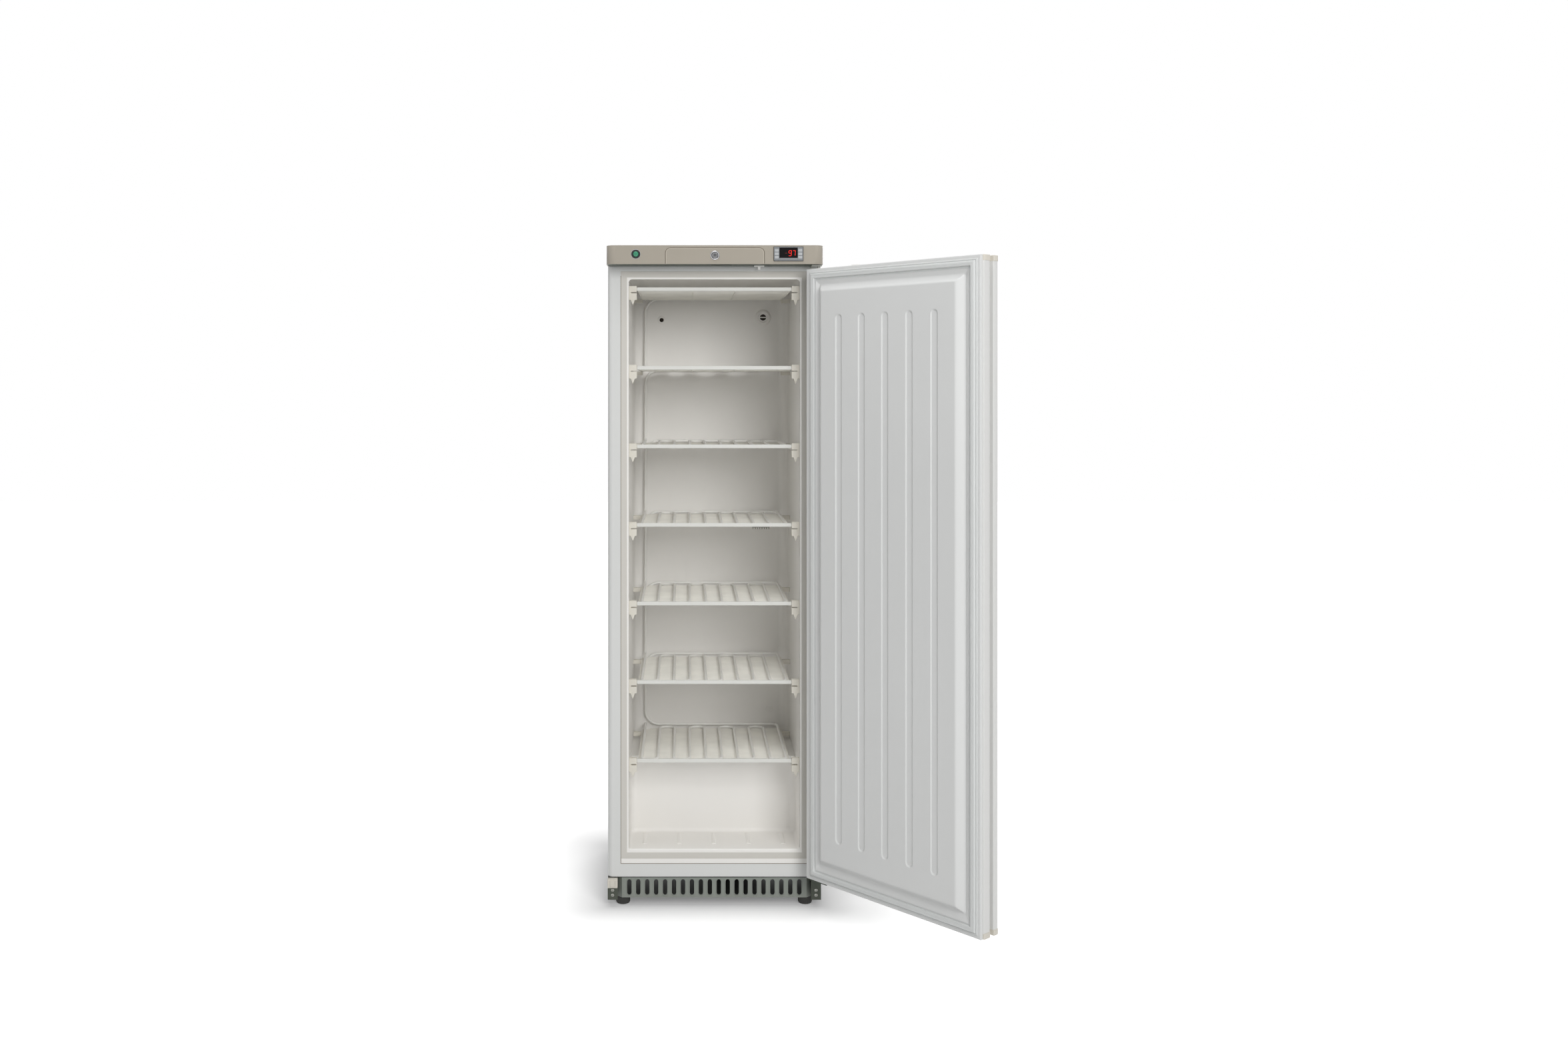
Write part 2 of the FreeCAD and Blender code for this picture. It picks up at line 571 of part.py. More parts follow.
def faceted_tube(route, radius):
    """A tube of flat faces along a route of straight runs, mitred at each point."""
    headings = []
    for a, b in zip(route, route[1:]):
        heading = b - a
        heading.normalize()
        headings.append(heading)
    across = headings[0].cross(UP)
    if across.Length < 0.1:
        across = headings[0].cross(Vector(1, 0, 0))
    across.normalize()
    rings = []
    for i, point in enumerate(route):
        if 0 < i < len(headings):
            across = FreeCAD.Rotation(headings[i - 1], headings[i]).multVec(across)
            if abs(headings[i].z) < 0.001:
                across = level_side(headings[i], across)
        heading = headings[min(i, len(headings) - 1)]
        normal = headings[max(i - 1, 0)] + heading
        ring = []
        for k in range(TUBE_SIDES):
            spoke = FreeCAD.Rotation(heading, 360 * (k + 0.5) / TUBE_SIDES).multVec(across) * radius
            slide = spoke.dot(normal) / heading.dot(normal)
            ring.append(point + spoke - heading * slide)
        rings.append(ring)
    faces = [face_of(rings[0][::-1]), face_of(rings[-1])]
    for low, high in zip(rings, rings[1:]):
        for k in range(TUBE_SIDES):
            n = (k + 1) % TUBE_SIDES
            corners = [low[k], low[n], high[n], high[k]]
            lean = (low[n] - low[k]).cross(high[n] - low[k])
            lean.normalize()
            if abs(lean.dot(high[k] - low[k])) < 0.0001:
                faces.append(face_of(corners))
            else:
                faces += [face_of(corners[:3]), face_of([high[n], high[k], low[k]])]
    shell = Part.Shell(faces)
    shell.sewShape()
    tube = Part.Solid(shell)
    return tube if tube.Volume > 0 else tube.reversed()


def turned(profile, centre, sides, axis=UP):
    """A profile of (radius, height) corners carried round an axis in flat faces."""
    rings = []
    for radius, height in profile:
        count = sides if radius else 1
        rings.append([FreeCAD.Rotation(UP, 360 * k / sides).multVec(Vector(radius, 0, height)) for k in range(count)])
    faces = []
    for ring, flip in ((rings[0], -1), (rings[-1], 1)):
        if len(ring) > 1:
            faces.append(face_of(ring[::flip]))
    for low, high in zip(rings, rings[1:]):
        for k in range(sides):
            n = (k + 1) % sides
            corners = [low[k % len(low)], low[n % len(low)], high[n % len(high)], high[k % len(high)]]
            corners = [p for i, p in enumerate(corners) if (p - corners[i - 1]).Length > 0.001]
            faces.append(face_of(corners))
    shell = Part.Shell(faces)
    shell.sewShape()
    body = Part.Solid(shell)
    body = body if body.Volume > 0 else body.reversed()
    body.Placement = FreeCAD.Placement(centre, FreeCAD.Rotation(UP, axis))
    return body


def side_panels():
    body = outline("side_sheet", "XY", [
        (f"-{SIDE}", REAR), (f"-{SIDE}", FRONT), (f"-{SEAM}", FRONT), (f"-{SEAM}", f"{FRONT} + sheet"),
        (f"-{SIDE} + sheet", f"{FRONT} + sheet"), (f"-{SIDE} + sheet", REAR)], "skirt_height", "body_top")
    fold(body, "inner_fold", "side_fold - sheet", upright_at(-v.body_width / 2 + v.sheet, front + v.sheet))
    fold(body, "outer_fold", "side_fold", upright_at(-v.body_width / 2, front))
    notch = block("side_notch", (f"-{SIDE} - sheet", f"-{SEAM} + sheet"),
                  (f"{FRONT} - sheet", f"{FRONT} + side_fold"), ("skirt_height - sheet", "rail_bottom"))
    left = part("side_panel_left", cut("side_left", body, notch))
    part("side_panel_right", mirrored("side_right", left))


def rails():
    part("top_front_rail", outline("top_rail", "YZ", [
        (FRONT, "seam_top"), (FRONT, "body_top"), (f"{FRONT} + rail_foot", "body_top"),
        (f"{FRONT} + rail_foot", "body_top - sheet"), (f"{FRONT} + sheet", "body_top - sheet"),
        (f"{FRONT} + sheet", "seam_top")], f"-{SEAM}", SEAM))
    part("bottom_front_rail", outline("bottom_rail", "YZ", [
        (FRONT, "rail_bottom"), (FRONT, "seam_bottom"), (f"{FRONT} + sheet", "seam_bottom"),
        (f"{FRONT} + sheet", "rail_bottom + sheet"), (f"{FRONT} + rail_foot", "rail_bottom + sheet"),
        (f"{FRONT} + rail_foot", "rail_bottom")], f"-{SEAM}", SEAM))


def outer_sheets():
    part("top_cover", block("top_lid", (f"-{SIDE}", SIDE), (FRONT, REAR), ("body_top", HEADER_TOP)))
    part("rear_panel", block("rear_sheet", (f"-{INNER}", INNER), (f"{REAR} - sheet", REAR),
                             ("room_top", "body_top")))
    part("machine_room_panel", outline("room_sheet", "YZ", [
        (f"{FRONT} + rail_foot", "rail_bottom"), (f"{ROOM_FRONT} + sheet", "rail_bottom"),
        (f"{ROOM_FRONT} + sheet", "room_top - sheet"), (REAR, "room_top - sheet"), (REAR, "room_top"),
        (ROOM_FRONT, "room_top"), (ROOM_FRONT, "rail_bottom + sheet"),
        (f"{FRONT} + rail_foot", "rail_bottom + sheet")], f"-{INNER}", INNER))


def cavity(grow, start):
    """The storage space, grown by a wall and begun at a depth: an L-shaped outline with rounded edges."""
    half = v.opening_width / 2 + grow
    floor, roof = v.opening_bottom - grow, v.opening_top + grow
    step_y, step_z = front + v.step_depth + grow, v.step_top - grow
    back = cavity_rear + grow
    profile = [(start, floor), (step_y, floor), (step_y, step_z), (back, step_z), (back, roof), (start, roof)]
    shape = face_of([Vector(-half, y, z) for y, z in profile]).extrude(Vector(2 * half, 0, 0))

    def picked(test):
        return [edge for edge in shape.Edges if test(edge.BoundBox)]

    def flat(low, high, at):
        return abs(low - at) < 0.01 and abs(high - at) < 0.01

    for depth, radius in ((back, v.cavity_corner), (step_y, v.step_corner)):
        edges = picked(lambda b: b.ZLength > 50 and b.YLength < 0.01 and flat(b.YMin, b.YMax, depth))
        shape = shape.makeFillet(radius + grow, edges)
    edges = picked(lambda b: b.YMax > start + 1 and (flat(b.ZMin, b.ZMax, floor) or flat(b.ZMin, b.ZMax, roof)))
    return shape.makeFillet(v.opening_corner + grow, edges)


def inner_liner():
    hollow = cavity(0, front - 1)
    shell = cavity(v.liner_wall, front).fuse(
        box_of(-v.body_width / 2 + v.side_return, v.body_width / 2 - v.side_return,
               front, front + v.flange, v.seam_bottom, v.seam_top)).cut(hollow)
    lip = Part.makeCylinder(v.lip_height, v.opening_width,
                            Vector(-v.opening_width / 2, front + v.lip_height, v.opening_bottom), Vector(1, 0, 0))
    additions = [lip]
    middle = (v.floor_rib_count - 1) / 2
    rib_start = front + v.step_depth - v.step_corner - v.floor_rib_length
    for i in range(int(v.floor_rib_count)):
        centre = Vector((i - middle) * v.floor_rib_pitch, rib_start,
                        v.opening_bottom + v.floor_rib_height - v.floor_rib_radius)
        additions.append(Part.makeCylinder(v.floor_rib_radius, v.floor_rib_length, centre, Vector(0, 1, 0)))
    inside = cavity(0, front)
    raised = additions[0].common(inside)
    for piece in additions[1:]:
        raised = raised.fuse(piece.common(inside))
    part("inner_liner", solid("liner", shell.fuse(raised).removeSplitter()))


def cabinet_insulation():
    half = v.body_width / 2 - v.sheet
    start, end = front + v.flange, rear - v.sheet
    foam = box_of(-half, half, start, end, v.rail_bottom + v.sheet, v.body_top - v.sheet)
    corners = [edge for edge in foam.Edges if upright_at(-half, start)(edge) or upright_at(half, start)(edge)]
    foam = foam.makeFillet(v.side_fold, corners)
    room = box_of(-half - 1, half + 1, front + v.step_depth + v.room_wall, end + 1, 0, v.room_top)
    part("cabinet_insulation", solid("foam", foam.cut(room).cut(cavity(v.liner_wall, start - 1))))


def base_tray():
    floor = block("tray_floor", (f"-{INNER}", INNER),
                  (f"{FRONT} + grille_setback + grille_bevel", f"{REAR} - sheet"),
                  ("tray_height", "tray_height + tray_sheet"))
    pieces = [floor]
    for name, x0, x1 in (("left", f"-{INNER}", f"-{INNER} + tray_sheet"), ("right", f"{INNER} - tray_sheet", INNER)):
        pieces.append(block(f"tray_{name}_rim", (x0, x1), (FRONT, f"{REAR} - sheet"), ("tray_height", "rail_bottom")))
    post = "(body_width / 2 - bracket_width + tray_sheet * 2)"
    for name, x0, x1 in (("left", f"-{INNER}", f"-{post}"), ("right", post, INNER)):
        pieces.append(block(f"tray_{name}_post", (x0, x1), (FRONT, f"{FRONT} + tray_sheet"),
                            ("tray_height", "rail_bottom")))
    pieces.append(block("tray_rear_rim", (f"-{INNER}", INNER), (f"{REAR} - sheet - tray_sheet", f"{REAR} - sheet"),
                        ("tray_height", "tray_height + tray_rim")))
    holes = []
    for i, (x, y) in enumerate(foot_places(), start=1):
        pieces.append(rod(f"tray_boss_{i}", "z", (x, y, "tray_height"), "boss_radius", "tray_sheet + boss_height", HEXAGON))
        holes.append(rod(f"tray_hole_{i}", "z", (x, y, "tray_height - 1"), "stem_radius + fit",
                         "tray_sheet + boss_height + 2", ROUND))
    holes.append(rod("tray_gland_hole", "y", ("gland_x", f"{REAR} - sheet - tray_sheet - 1",
                                              "tray_height + tray_sheet + tray_rim / 2"),
                     "gland_radius", "tray_sheet + 2", ROUND))
    part("base_tray", cut("tray", fuse("tray_blank", *pieces), *holes))


def foot_places():
    """Centres of the four feet in plan, as expressions."""
    across = f"({SIDE} - foot_inset_side)"
    return [(f"{sign}{across}", y) for y in (f"{FRONT} + foot_inset_front", f"{REAR} - foot_inset_rear")
            for sign in ("-", "")]


def feet():
    across = v.body_width / 2 - v.foot_inset_side
    places = [(x, y) for y in (front + v.foot_inset_front, rear - v.foot_inset_rear) for x in (-across, across)]
    profile = [(0, 0), (v.foot_radius - v.foot_edge, 0), (v.foot_radius, v.foot_edge),
               (v.foot_radius, v.foot_height), (v.stem_radius, v.foot_height),
               (v.stem_radius, v.stem_height), (0, v.stem_height)]
    for i, (x, y) in enumerate(places, start=1):
        part(f"levelling_foot_{i}", solid(f"foot_{i}", turned(profile, Vector(x, y, 0), ROUND)))


def plinth_grille():
    outer, bend = "(grille_width / 2)", "(grille_width / 2 - grille_bevel)"
    near, far = f"({FRONT} + grille_setback)", f"({FRONT} + grille_setback + grille_bevel)"
    blank = outline("grille_sheet_metal", "XY", [
        (f"-{outer}", far), (f"-{bend}", near), (bend, near), (outer, far),
        (f"{outer} - grille_sheet * 1.4142", far), (f"{bend} - grille_sheet * 0.4142", f"{near} + grille_sheet"),
        (f"-{bend} + grille_sheet * 0.4142", f"{near} + grille_sheet"),
        (f"-{outer} + grille_sheet * 1.4142", far)], "grille_bottom", "grille_top")
    middle = (v.slot_count - 1) / 2
    start = front + v.grille_setback - 1
    slots = [stadium((i - middle) * v.slot_pitch, v.slot_width / 2, v.slot_low, v.slot_high,
                     start, start + v.grille_sheet + 2) for i in range(int(v.slot_count))]
    part("plinth_grille", cut("grille", blank, solid("grille_slots", Part.makeCompound(slots))))


# ---- Hinges and brackets at the cabinet's front ----

def lower_hinge_bracket():
    low_x, high_x = f"({SIDE} - bracket_width)", SIDE
    ledge_top = "(door_bottom - door_plate - bush_flange - gap)"
    leg = block("hinge_leg", (low_x, high_x), (f"{FRONT} - bracket_sheet", FRONT), ("bracket_low", ledge_top))
    ledge = block("hinge_ledge", (low_x, high_x), (f"{PIVOT_Y} - bush_flange_radius", FRONT),
                  (f"{ledge_top} - bracket_sheet", ledge_top))
    pin = rod("hinge_pin", "z", (PIVOT_X, PIVOT_Y, f"{ledge_top} - bracket_sheet"), "pin_radius",
              f"door_bottom + pin_length - ({ledge_top} - bracket_sheet)")
    part("hinge_bracket_lower", fuse("lower_hinge", leg, ledge, pin))


def upper_hinge_bracket():
    high_x = f"({SIDE} - header_wall)"
    low_x = f"({high_x} - bracket_width)"
    ledge = block("top_ledge", (low_x, high_x), (f"{PIVOT_Y} - bush_flange_radius", FRONT),
                  ("header_bottom - gap - bracket_sheet", "header_bottom - gap"))
    leg = block("top_leg", (low_x, high_x), (f"{FRONT} - bracket_sheet", FRONT),
                ("header_bottom - gap - bracket_sheet", "body_top - lid_height"))
    pin = rod("top_pin", "z", (PIVOT_X, PIVOT_Y, "door_top - pin_length"), "pin_radius",
              "header_bottom - gap - (door_top - pin_length)")
    part("hinge_bracket_upper", fuse("upper_hinge", ledge, leg, pin))


def spare_bracket():
    low_x, high_x = f"-{SIDE}", f"(bracket_width - {SIDE})"
    part("spare_bracket_left", block("spare_plate", (low_x, high_x), (f"{FRONT} - bracket_sheet", FRONT),
                                     ("bracket_low", "spare_bracket_top")))
    cover = block("cover_block", (low_x, high_x), (f"{FRONT} - cover_depth", FRONT),
                  ("spare_bracket_top", "rail_bottom - header_wall"))
    boss = block("cover_boss", (f"{low_x} + bracket_width / 4", f"{high_x} - bracket_width / 4"),
                 (f"{FRONT} - cover_depth - cover_emboss", f"{FRONT} - cover_depth"),
                 ("spare_bracket_top + bracket_sheet", "rail_bottom - header_wall - bracket_sheet"))
    part("hinge_cover_left", fuse("hinge_cover", cover, boss))


def bracket_screws():
    heads = []
    for sign in (-1, 1):
        for height in (v.bracket_screw_low, v.bracket_screw_high):
            centre = Vector(sign * (v.body_width / 2 - v.bracket_width / 2),
                            front - v.bracket_sheet - v.screw_head_height, height)
            profile = [(v.screw_head_radius * 0.7, 0), (v.screw_head_radius, v.screw_head_height)]
            heads.append(turned(profile, centre, SMALL_ROUND, Vector(0, 1, 0)))
    part("bracket_screws", solid("screws", Part.makeCompound(heads)))


# ---- Header with its controls ----

def header():
    shell = plan_with_round_front(v.body_width / 2, header_front, front, v.header_corner,
                                  v.header_bottom, header_top)
    hollow = plan_with_round_front(v.body_width / 2 - v.header_wall, header_front + v.header_wall, front + 1,
                                   v.header_corner - v.header_wall, v.header_bottom - 1, header_top - v.header_wall)
    shell = shell.cut(hollow)
    half, top = v.zone_width / 2, header_top - v.zone_top_margin
    zone = box_of(-half, half, zone_front, header_front, v.header_bottom, top)
    corners = [edge for edge in zone.Edges if edge.BoundBox.YLength > v.zone_rise / 2
               and abs(edge.BoundBox.ZMin - top) < 0.01]
    shell = shell.fuse(zone.makeFillet(v.zone_corner, corners))
    depth = v.header_wall + v.zone_rise + 2
    through = [Part.makeCylinder(v.lock_body_radius, depth, Vector(0, zone_front - 1, v.lock_height), Vector(0, 1, 0)),
               Part.makeCylinder(switch_barrel_radius, depth,
                                 Vector(v.switch_x, zone_front - 1, v.switch_height), Vector(0, 1, 0)),
               box_of(v.controller_x - v.case_body_width / 2, v.controller_x + v.case_body_width / 2,
                      header_front - 1, header_front + depth,
                      v.controller_height - v.case_body_height / 2, v.controller_height + v.case_body_height / 2)]
    part("header_fascia", solid("header_shell", shell.cut(Part.makeCompound(through)).removeSplitter()))


switch_barrel_radius = v.button_radius + 2
tongue_front = header_front + v.header_wall + v.lock_body_length + v.gap


def header_base():
    plate = plan_with_round_front(v.body_width / 2 - v.header_wall, header_front + v.header_wall,
                                  front - v.bracket_sheet - v.gap, v.header_corner - v.header_wall,
                                  v.header_bottom, v.header_bottom + v.base_plate)
    margin = v.tongue_sheet
    slot = box_of(-v.tongue_width / 2 - margin, v.tongue_reach + margin, tongue_front - margin,
                  tongue_front + v.tongue_sheet + margin, v.header_bottom - 1, v.header_bottom + v.base_plate + 1)
    bore = Part.makeCylinder(v.peg_radius + v.fit, v.base_plate + 2,
                             Vector(v.peg_x, front - v.peg_setback, v.header_bottom - 1))
    part("header_base", solid("header_floor", plate.cut(slot).cut(bore)))


def lock():
    axis = ("0", "lock_height")
    at = lambda depth: (axis[0], depth, axis[1])
    face = f"({HEADER_FRONT} - zone_rise)"
    collar = rod("lock_collar_ring", "y", at(f"{face} - lock_collar"), "lock_radius", "lock_collar", ROUND)
    housing = rod("lock_tube", "y", at(face), "lock_body_radius", "zone_rise + header_wall + lock_body_length", ROUND)
    bore = rod("lock_bore", "y", at(f"{face} - lock_collar - 1"), "barrel_radius + fit",
               "lock_collar + zone_rise + header_wall + lock_body_length + 2")
    part("lock_housing", cut("lock_shell", fuse("lock_blank", collar, housing), bore))
    barrel = rod("barrel_round", "y", at(f"{face} - lock_collar"), "barrel_radius",
                 "lock_collar + zone_rise + header_wall + lock_body_length + gap + tongue_sheet")
    tongue = block("barrel_tongue", ("-tongue_width / 2", "tongue_reach"),
                   (f"{HEADER_FRONT} + header_wall + lock_body_length + gap",
                    f"{HEADER_FRONT} + header_wall + lock_body_length + gap + tongue_sheet"),
                   ("lock_height - tongue_width / 2", "lock_height + tongue_width / 2"))
    key_slot = block("barrel_key_slot", ("-key_slot_width / 2", "key_slot_width / 2"),
                     (f"{face} - lock_collar - 1", f"{face} + lock_collar"),
                     ("lock_height - key_slot_height / 2", "lock_height + key_slot_height / 2"))
    part("lock_barrel", cut("barrel", fuse("barrel_blank", barrel, tongue), key_slot))


def lamp_switch():
    centre = lambda depth: ("switch_x", depth, "switch_height")
    rim = rod("switch_rim", "y", centre(f"{HEADER_FRONT} - bezel_rise"), "bezel_radius", "bezel_rise", ROUND)
    barrel = rod("switch_body", "y", centre(HEADER_FRONT), "button_radius + 2", "header_wall + switch_barrel_length", ROUND)
    well = rod("switch_well", "y", centre(f"{HEADER_FRONT} - bezel_rise - 1"), "button_radius + fit",
               "bezel_rise + 1 + switch_barrel_length / 2 + button_travel + gap", ROUND)
    part("switch_bezel", cut("switch_shell", fuse("switch_blank", rim, barrel), well))
    part("switch_button", rod("button", "y", centre(f"{HEADER_FRONT} - bezel_rise * 2"), "button_radius",
                              "bezel_rise * 2 + switch_barrel_length / 2", ROUND))


KEY_PLACES = [(side, row) for side in (-1, 1) for row in (1, 0, -1)]


def controller():
    width = lambda size: (f"controller_x - {size} / 2", f"controller_x + {size} / 2")
    height = lambda size, shift="0": (f"controller_height + {shift} - {size} / 2",
                                      f"controller_height + {shift} + {size} / 2")
    frame = block("case_frame", width("case_width"), (f"{HEADER_FRONT} - case_rise", HEADER_FRONT),
                  height("case_height"))
    body = block("case_body", width("case_body_width"), (HEADER_FRONT, f"{HEADER_FRONT} + case_body_depth"),
                 height("case_body_height"))
    window_depth = (f"{HEADER_FRONT} - case_rise", f"{HEADER_FRONT} - case_rise / 2")
    recess = block("window_recess", width("window_width"), window_depth, height("window_height", "window_shift"))
    wells = []
    for i, (side, row) in enumerate(KEY_PLACES, start=1):
        x, z = f"(controller_x + {side} * key_offset)", f"(controller_height + {row} * key_pitch)"
        wells.append(block(f"key_well_{i}", (f"{x} - key_width / 2 - fit", f"{x} + key_width / 2 + fit"),
                           (f"{HEADER_FRONT} - case_rise - 1", f"{HEADER_FRONT} - gap"),
                           (f"{z} - key_height / 2 - fit", f"{z} + key_height / 2 + fit")))
        part(f"controller_key_{i}", block(f"key_{i}", (f"{x} - key_width / 2", f"{x} + key_width / 2"),
                                          (f"{HEADER_FRONT} - case_rise - key_rise",
                                           f"{HEADER_FRONT} - gap * 2 - key_travel"),
                                          (f"{z} - key_height / 2", f"{z} + key_height / 2")))
    part("controller_case", cut("case", fuse("case_blank", frame, body), recess, *wells))
    part("controller_window", block("window", width("window_width"), window_depth,
                                    height("window_height", "window_shift")))


def door_switch():
    spot = ("peg_x", f"{FRONT} - peg_setback")
    plate = block("peg_plate", ("peg_x - peg_plate_width / 2", "peg_x + peg_plate_width / 2"),
                  (f"{FRONT} - peg_setback - peg_plate_width / 3", f"{FRONT} - peg_setback + peg_plate_width / 3"),
                  ("header_bottom - peg_plate_height", "header_bottom"))
    bore = rod("peg_bore", "z", (*spot, "header_bottom - peg_plate_height - 1"), "peg_radius + fit",
               "peg_plate_height + 2", SMALL_ROUND)
    part("door_switch_base", cut("switch_plate", plate, bore))
    tip = "(door_top + striker_height + gap)"
    part("door_switch_peg", rod("peg", "z", (*spot, tip), "peg_radius", f"header_bottom + base_plate * 4 - {tip}",
                                SMALL_ROUND))


# ---- Inside ----

def coil_route():
    """One refrigerant tube. It comes out of the rear wall as the left-hand pass of the top shelf, goes to and
    fro across it, runs back along its rear edge and bends down the left rear corner to the next shelf, where
    it bends forward into the left-hand pass. The lowest shelf is run the other way round, from its rear edge
    to the left-hand pass and the rear wall. Each point comes with the radius of its bend."""
    half = (v.pass_count - 1) / 2 * v.pass_pitch
    flat = v.tube_radius * math.cos(math.pi / TUBE_SIDES) / math.cos(math.pi / 4 / BEND_STEPS)
    near = rail_y + v.rail_depth / 2 + flat
    far = rail_y + v.shelf_depth
    wall_y = cavity_rear - v.riser_inset
    u_turn = v.pass_pitch / 2
    route = []
    for height in reversed(shelf_heights):
        shelf = []
        for i in range(int(v.pass_count)):
            x = i * v.pass_pitch - half
            for y in (near, far) if i % 2 else (far, near):
                shelf.append((Vector(x, y, height), u_turn))
        shelf[-1] = (Vector(half, wall_y, height), u_turn)
        shelf.append((Vector(-half, wall_y, height), v.riser_bend))
        if height in (shelf_heights[0], shelf_heights[-1]):
            shelf[0] = (Vector(-half, cavity_rear, height), 0)
        else:
            shelf[0] = (Vector(-half, wall_y - v.riser_lean, height), v.entry_bend)
        route += shelf if height > shelf_heights[0] else reversed(shelf)
    return route


def evaporator():
    route = rounded_route(*zip(*coil_route()))
    print_least_gap("evaporator_coil", route, v.tube_radius)
    part("evaporator_coil", solid("coil", faceted_tube(route, v.tube_radius)))
    sheets, rails_row, rear_clips = [], [], []
    first = rail_y + v.wire_setback
    last = rail_y + v.shelf_depth
    pitch = (last - first) / (v.wire_count - 1)
    half = v.wire_span / 2
    for height in shelf_heights:
        low = height - v.tube_radius - v.wire_height
        plate = box_of(-half, half, rail_y + v.rail_depth / 2, last + v.wire_width / 2, low, low + v.wire_height)
        gaps = [box_of(-half + v.wire_border, half - v.wire_border, rail_y + v.rail_depth / 2 + v.wire_border,
                       first - v.wire_width / 2, low - 1, low + v.wire_height + 1)]
        for i in range(int(v.wire_count) - 1):
            y = first + i * pitch
            gaps.append(box_of(-half + v.wire_border, half - v.wire_border, y + v.wire_width / 2,
                               y + pitch - v.wire_width / 2, low - 1, low + v.wire_height + 1))
        sheets.append(plate.cut(Part.makeCompound(gaps)))
        rails_row.append(box_of(-rail_end, rail_end, rail_y - v.rail_depth / 2, rail_y + v.rail_depth / 2,
                                height - v.rail_height / 2, height + v.rail_height / 2))
        clip_y = rail_y + v.rear_clip_setback
        for side in (-1, 1):
            inner, wall = sorted((side * (half - v.wire_border), side * v.opening_width / 2))
            rear_clips.append(box_of(inner, wall, clip_y - v.rear_clip_length / 2,
                                     clip_y + v.rear_clip_length / 2, low - v.rear_clip_height, low))
    part("shelf_wires", solid("wire_sheets", Part.makeCompound(sheets)))
    part("shelf_rails", solid("rail_bars", Part.makeCompound(rails_row)))
    part("rear_shelf_clips", solid("rear_clips", Part.makeCompound(rear_clips)))


def shelf_clips():
    """Two stacked blocks and a pointed end at each rail end, cut as one outline."""
    wall = v.opening_width / 2
    top = v.clip_height / 2
    notch = -top - v.clip_gap
    low = notch - v.clip_lower
    spine = wall - v.clip_gap * 2
    middle = (rail_end + wall) / 2
    corners = [(rail_end, top), (wall, top), (wall, low), (middle + v.clip_gap * 2, low),
               (middle, low - v.clip_tip), (middle - v.clip_gap * 2, low), (rail_end, low),
               (rail_end, notch), (spine, notch), (spine, -top), (rail_end, -top)]
    clips = []
    for height in shelf_heights:
        for side in (-1, 1):
            clips.append(prism_y([(side * x, height + z) for x, z in corners],
                                 rail_y - v.clip_depth / 2, rail_y + v.clip_depth / 2))
    part("shelf_clips", solid("clips", Part.makeCompound(clips)))


def wall_fittings():
    wall_y = f"({FRONT} + cavity_depth)"
    cap = rod("vent_round", "y", ("vent_x", f"{wall_y} - vent_thickness", "vent_height"), "vent_radius",
              "vent_thickness", ROUND)
    groove = block("vent_groove", ("vent_x - vent_radius / 2", "vent_x + vent_radius / 2"),
                   (f"{wall_y} - vent_thickness - 1", f"{wall_y} - vent_thickness / 2"),
                   ("vent_height - vent_slot / 2", "vent_height + vent_slot / 2"))
    part("vent_cap", cut("vent", cap, groove))
    ring = rod("sensor_round", "y", ("sensor_x", f"{wall_y} - sensor_thickness", "sensor_height"), "sensor_radius",
               "sensor_thickness", ROUND)
    hole = rod("sensor_hole", "y", ("sensor_x", f"{wall_y} - sensor_thickness - 1", "sensor_height"), "sensor_bore",
               "sensor_thickness / 2 + 1", ROUND)
    part("sensor_grommet", cut("grommet", ring, hole))
    part("wall_plug", rod("plug", "y", ("plug_x", f"{wall_y} - plug_thickness", "plug_height"), "plug_radius",
                          "plug_thickness", ROUND))


# ---- Door, drawn closed ----

door_low_box = (-liner_edge + v.panel_inset, liner_edge - v.panel_inset,
                v.door_bottom + v.panel_inset_low, v.door_top - v.panel_inset)


def inset(rectangle, amount):
    x0, x1, z0, z1 = rectangle
    return (x0 + amount, x1 - amount, z0 + amount, z1 - amount)


def liner_panel():
    plate = box_of(-liner_edge, liner_edge, door_inner - v.door_liner_wall, door_inner, v.door_bottom, v.door_top)
    low = door_inner - v.door_liner_wall
    outer = frustum(door_low_box, inset(door_low_box, v.panel_bevel), door_inner, door_inner + v.panel_rise)
    inner = frustum(inset(door_low_box, v.door_liner_wall), inset(door_low_box, v.panel_bevel + v.door_liner_wall),
                    door_inner - v.door_liner_wall, door_inner + v.panel_rise - v.door_liner_wall)
    under = inset(door_low_box, v.door_liner_wall)
    middle = (v.groove_count - 1) / 2
    face = door_inner + v.panel_rise
    grooves = [stadium((i - middle) * v.groove_pitch, v.groove_width / 2, v.groove_low, v.groove_high,
                       face - v.groove_depth, face + 1) for i in range(int(v.groove_count))]
    part("door_liner", on_door(solid("liner_sheet", plate.fuse(outer).cut(inner).cut(
        Part.makeCompound(grooves)).removeSplitter())))
    return inner


skin_edge = v.handle_width + v.door_border - v.handle_proud - v.door_width / 2
keeper_box = (-v.tongue_width / 2 - v.tongue_sheet, v.tongue_reach - v.tongue_width,
              tongue_front - v.tongue_sheet, tongue_front + 2 * v.tongue_sheet,
              v.door_top - v.keeper_drop, v.door_top + 1)


def bush_room(grow=0):
    """The places of the two hinge bushes in the closed door."""
    depth = v.pin_length + v.bush_flange
    return [Part.makeCylinder(v.bush_radius + grow, depth, Vector(pivot.x, pivot.y, z))
            for z in (v.door_bottom, v.door_top - depth)]


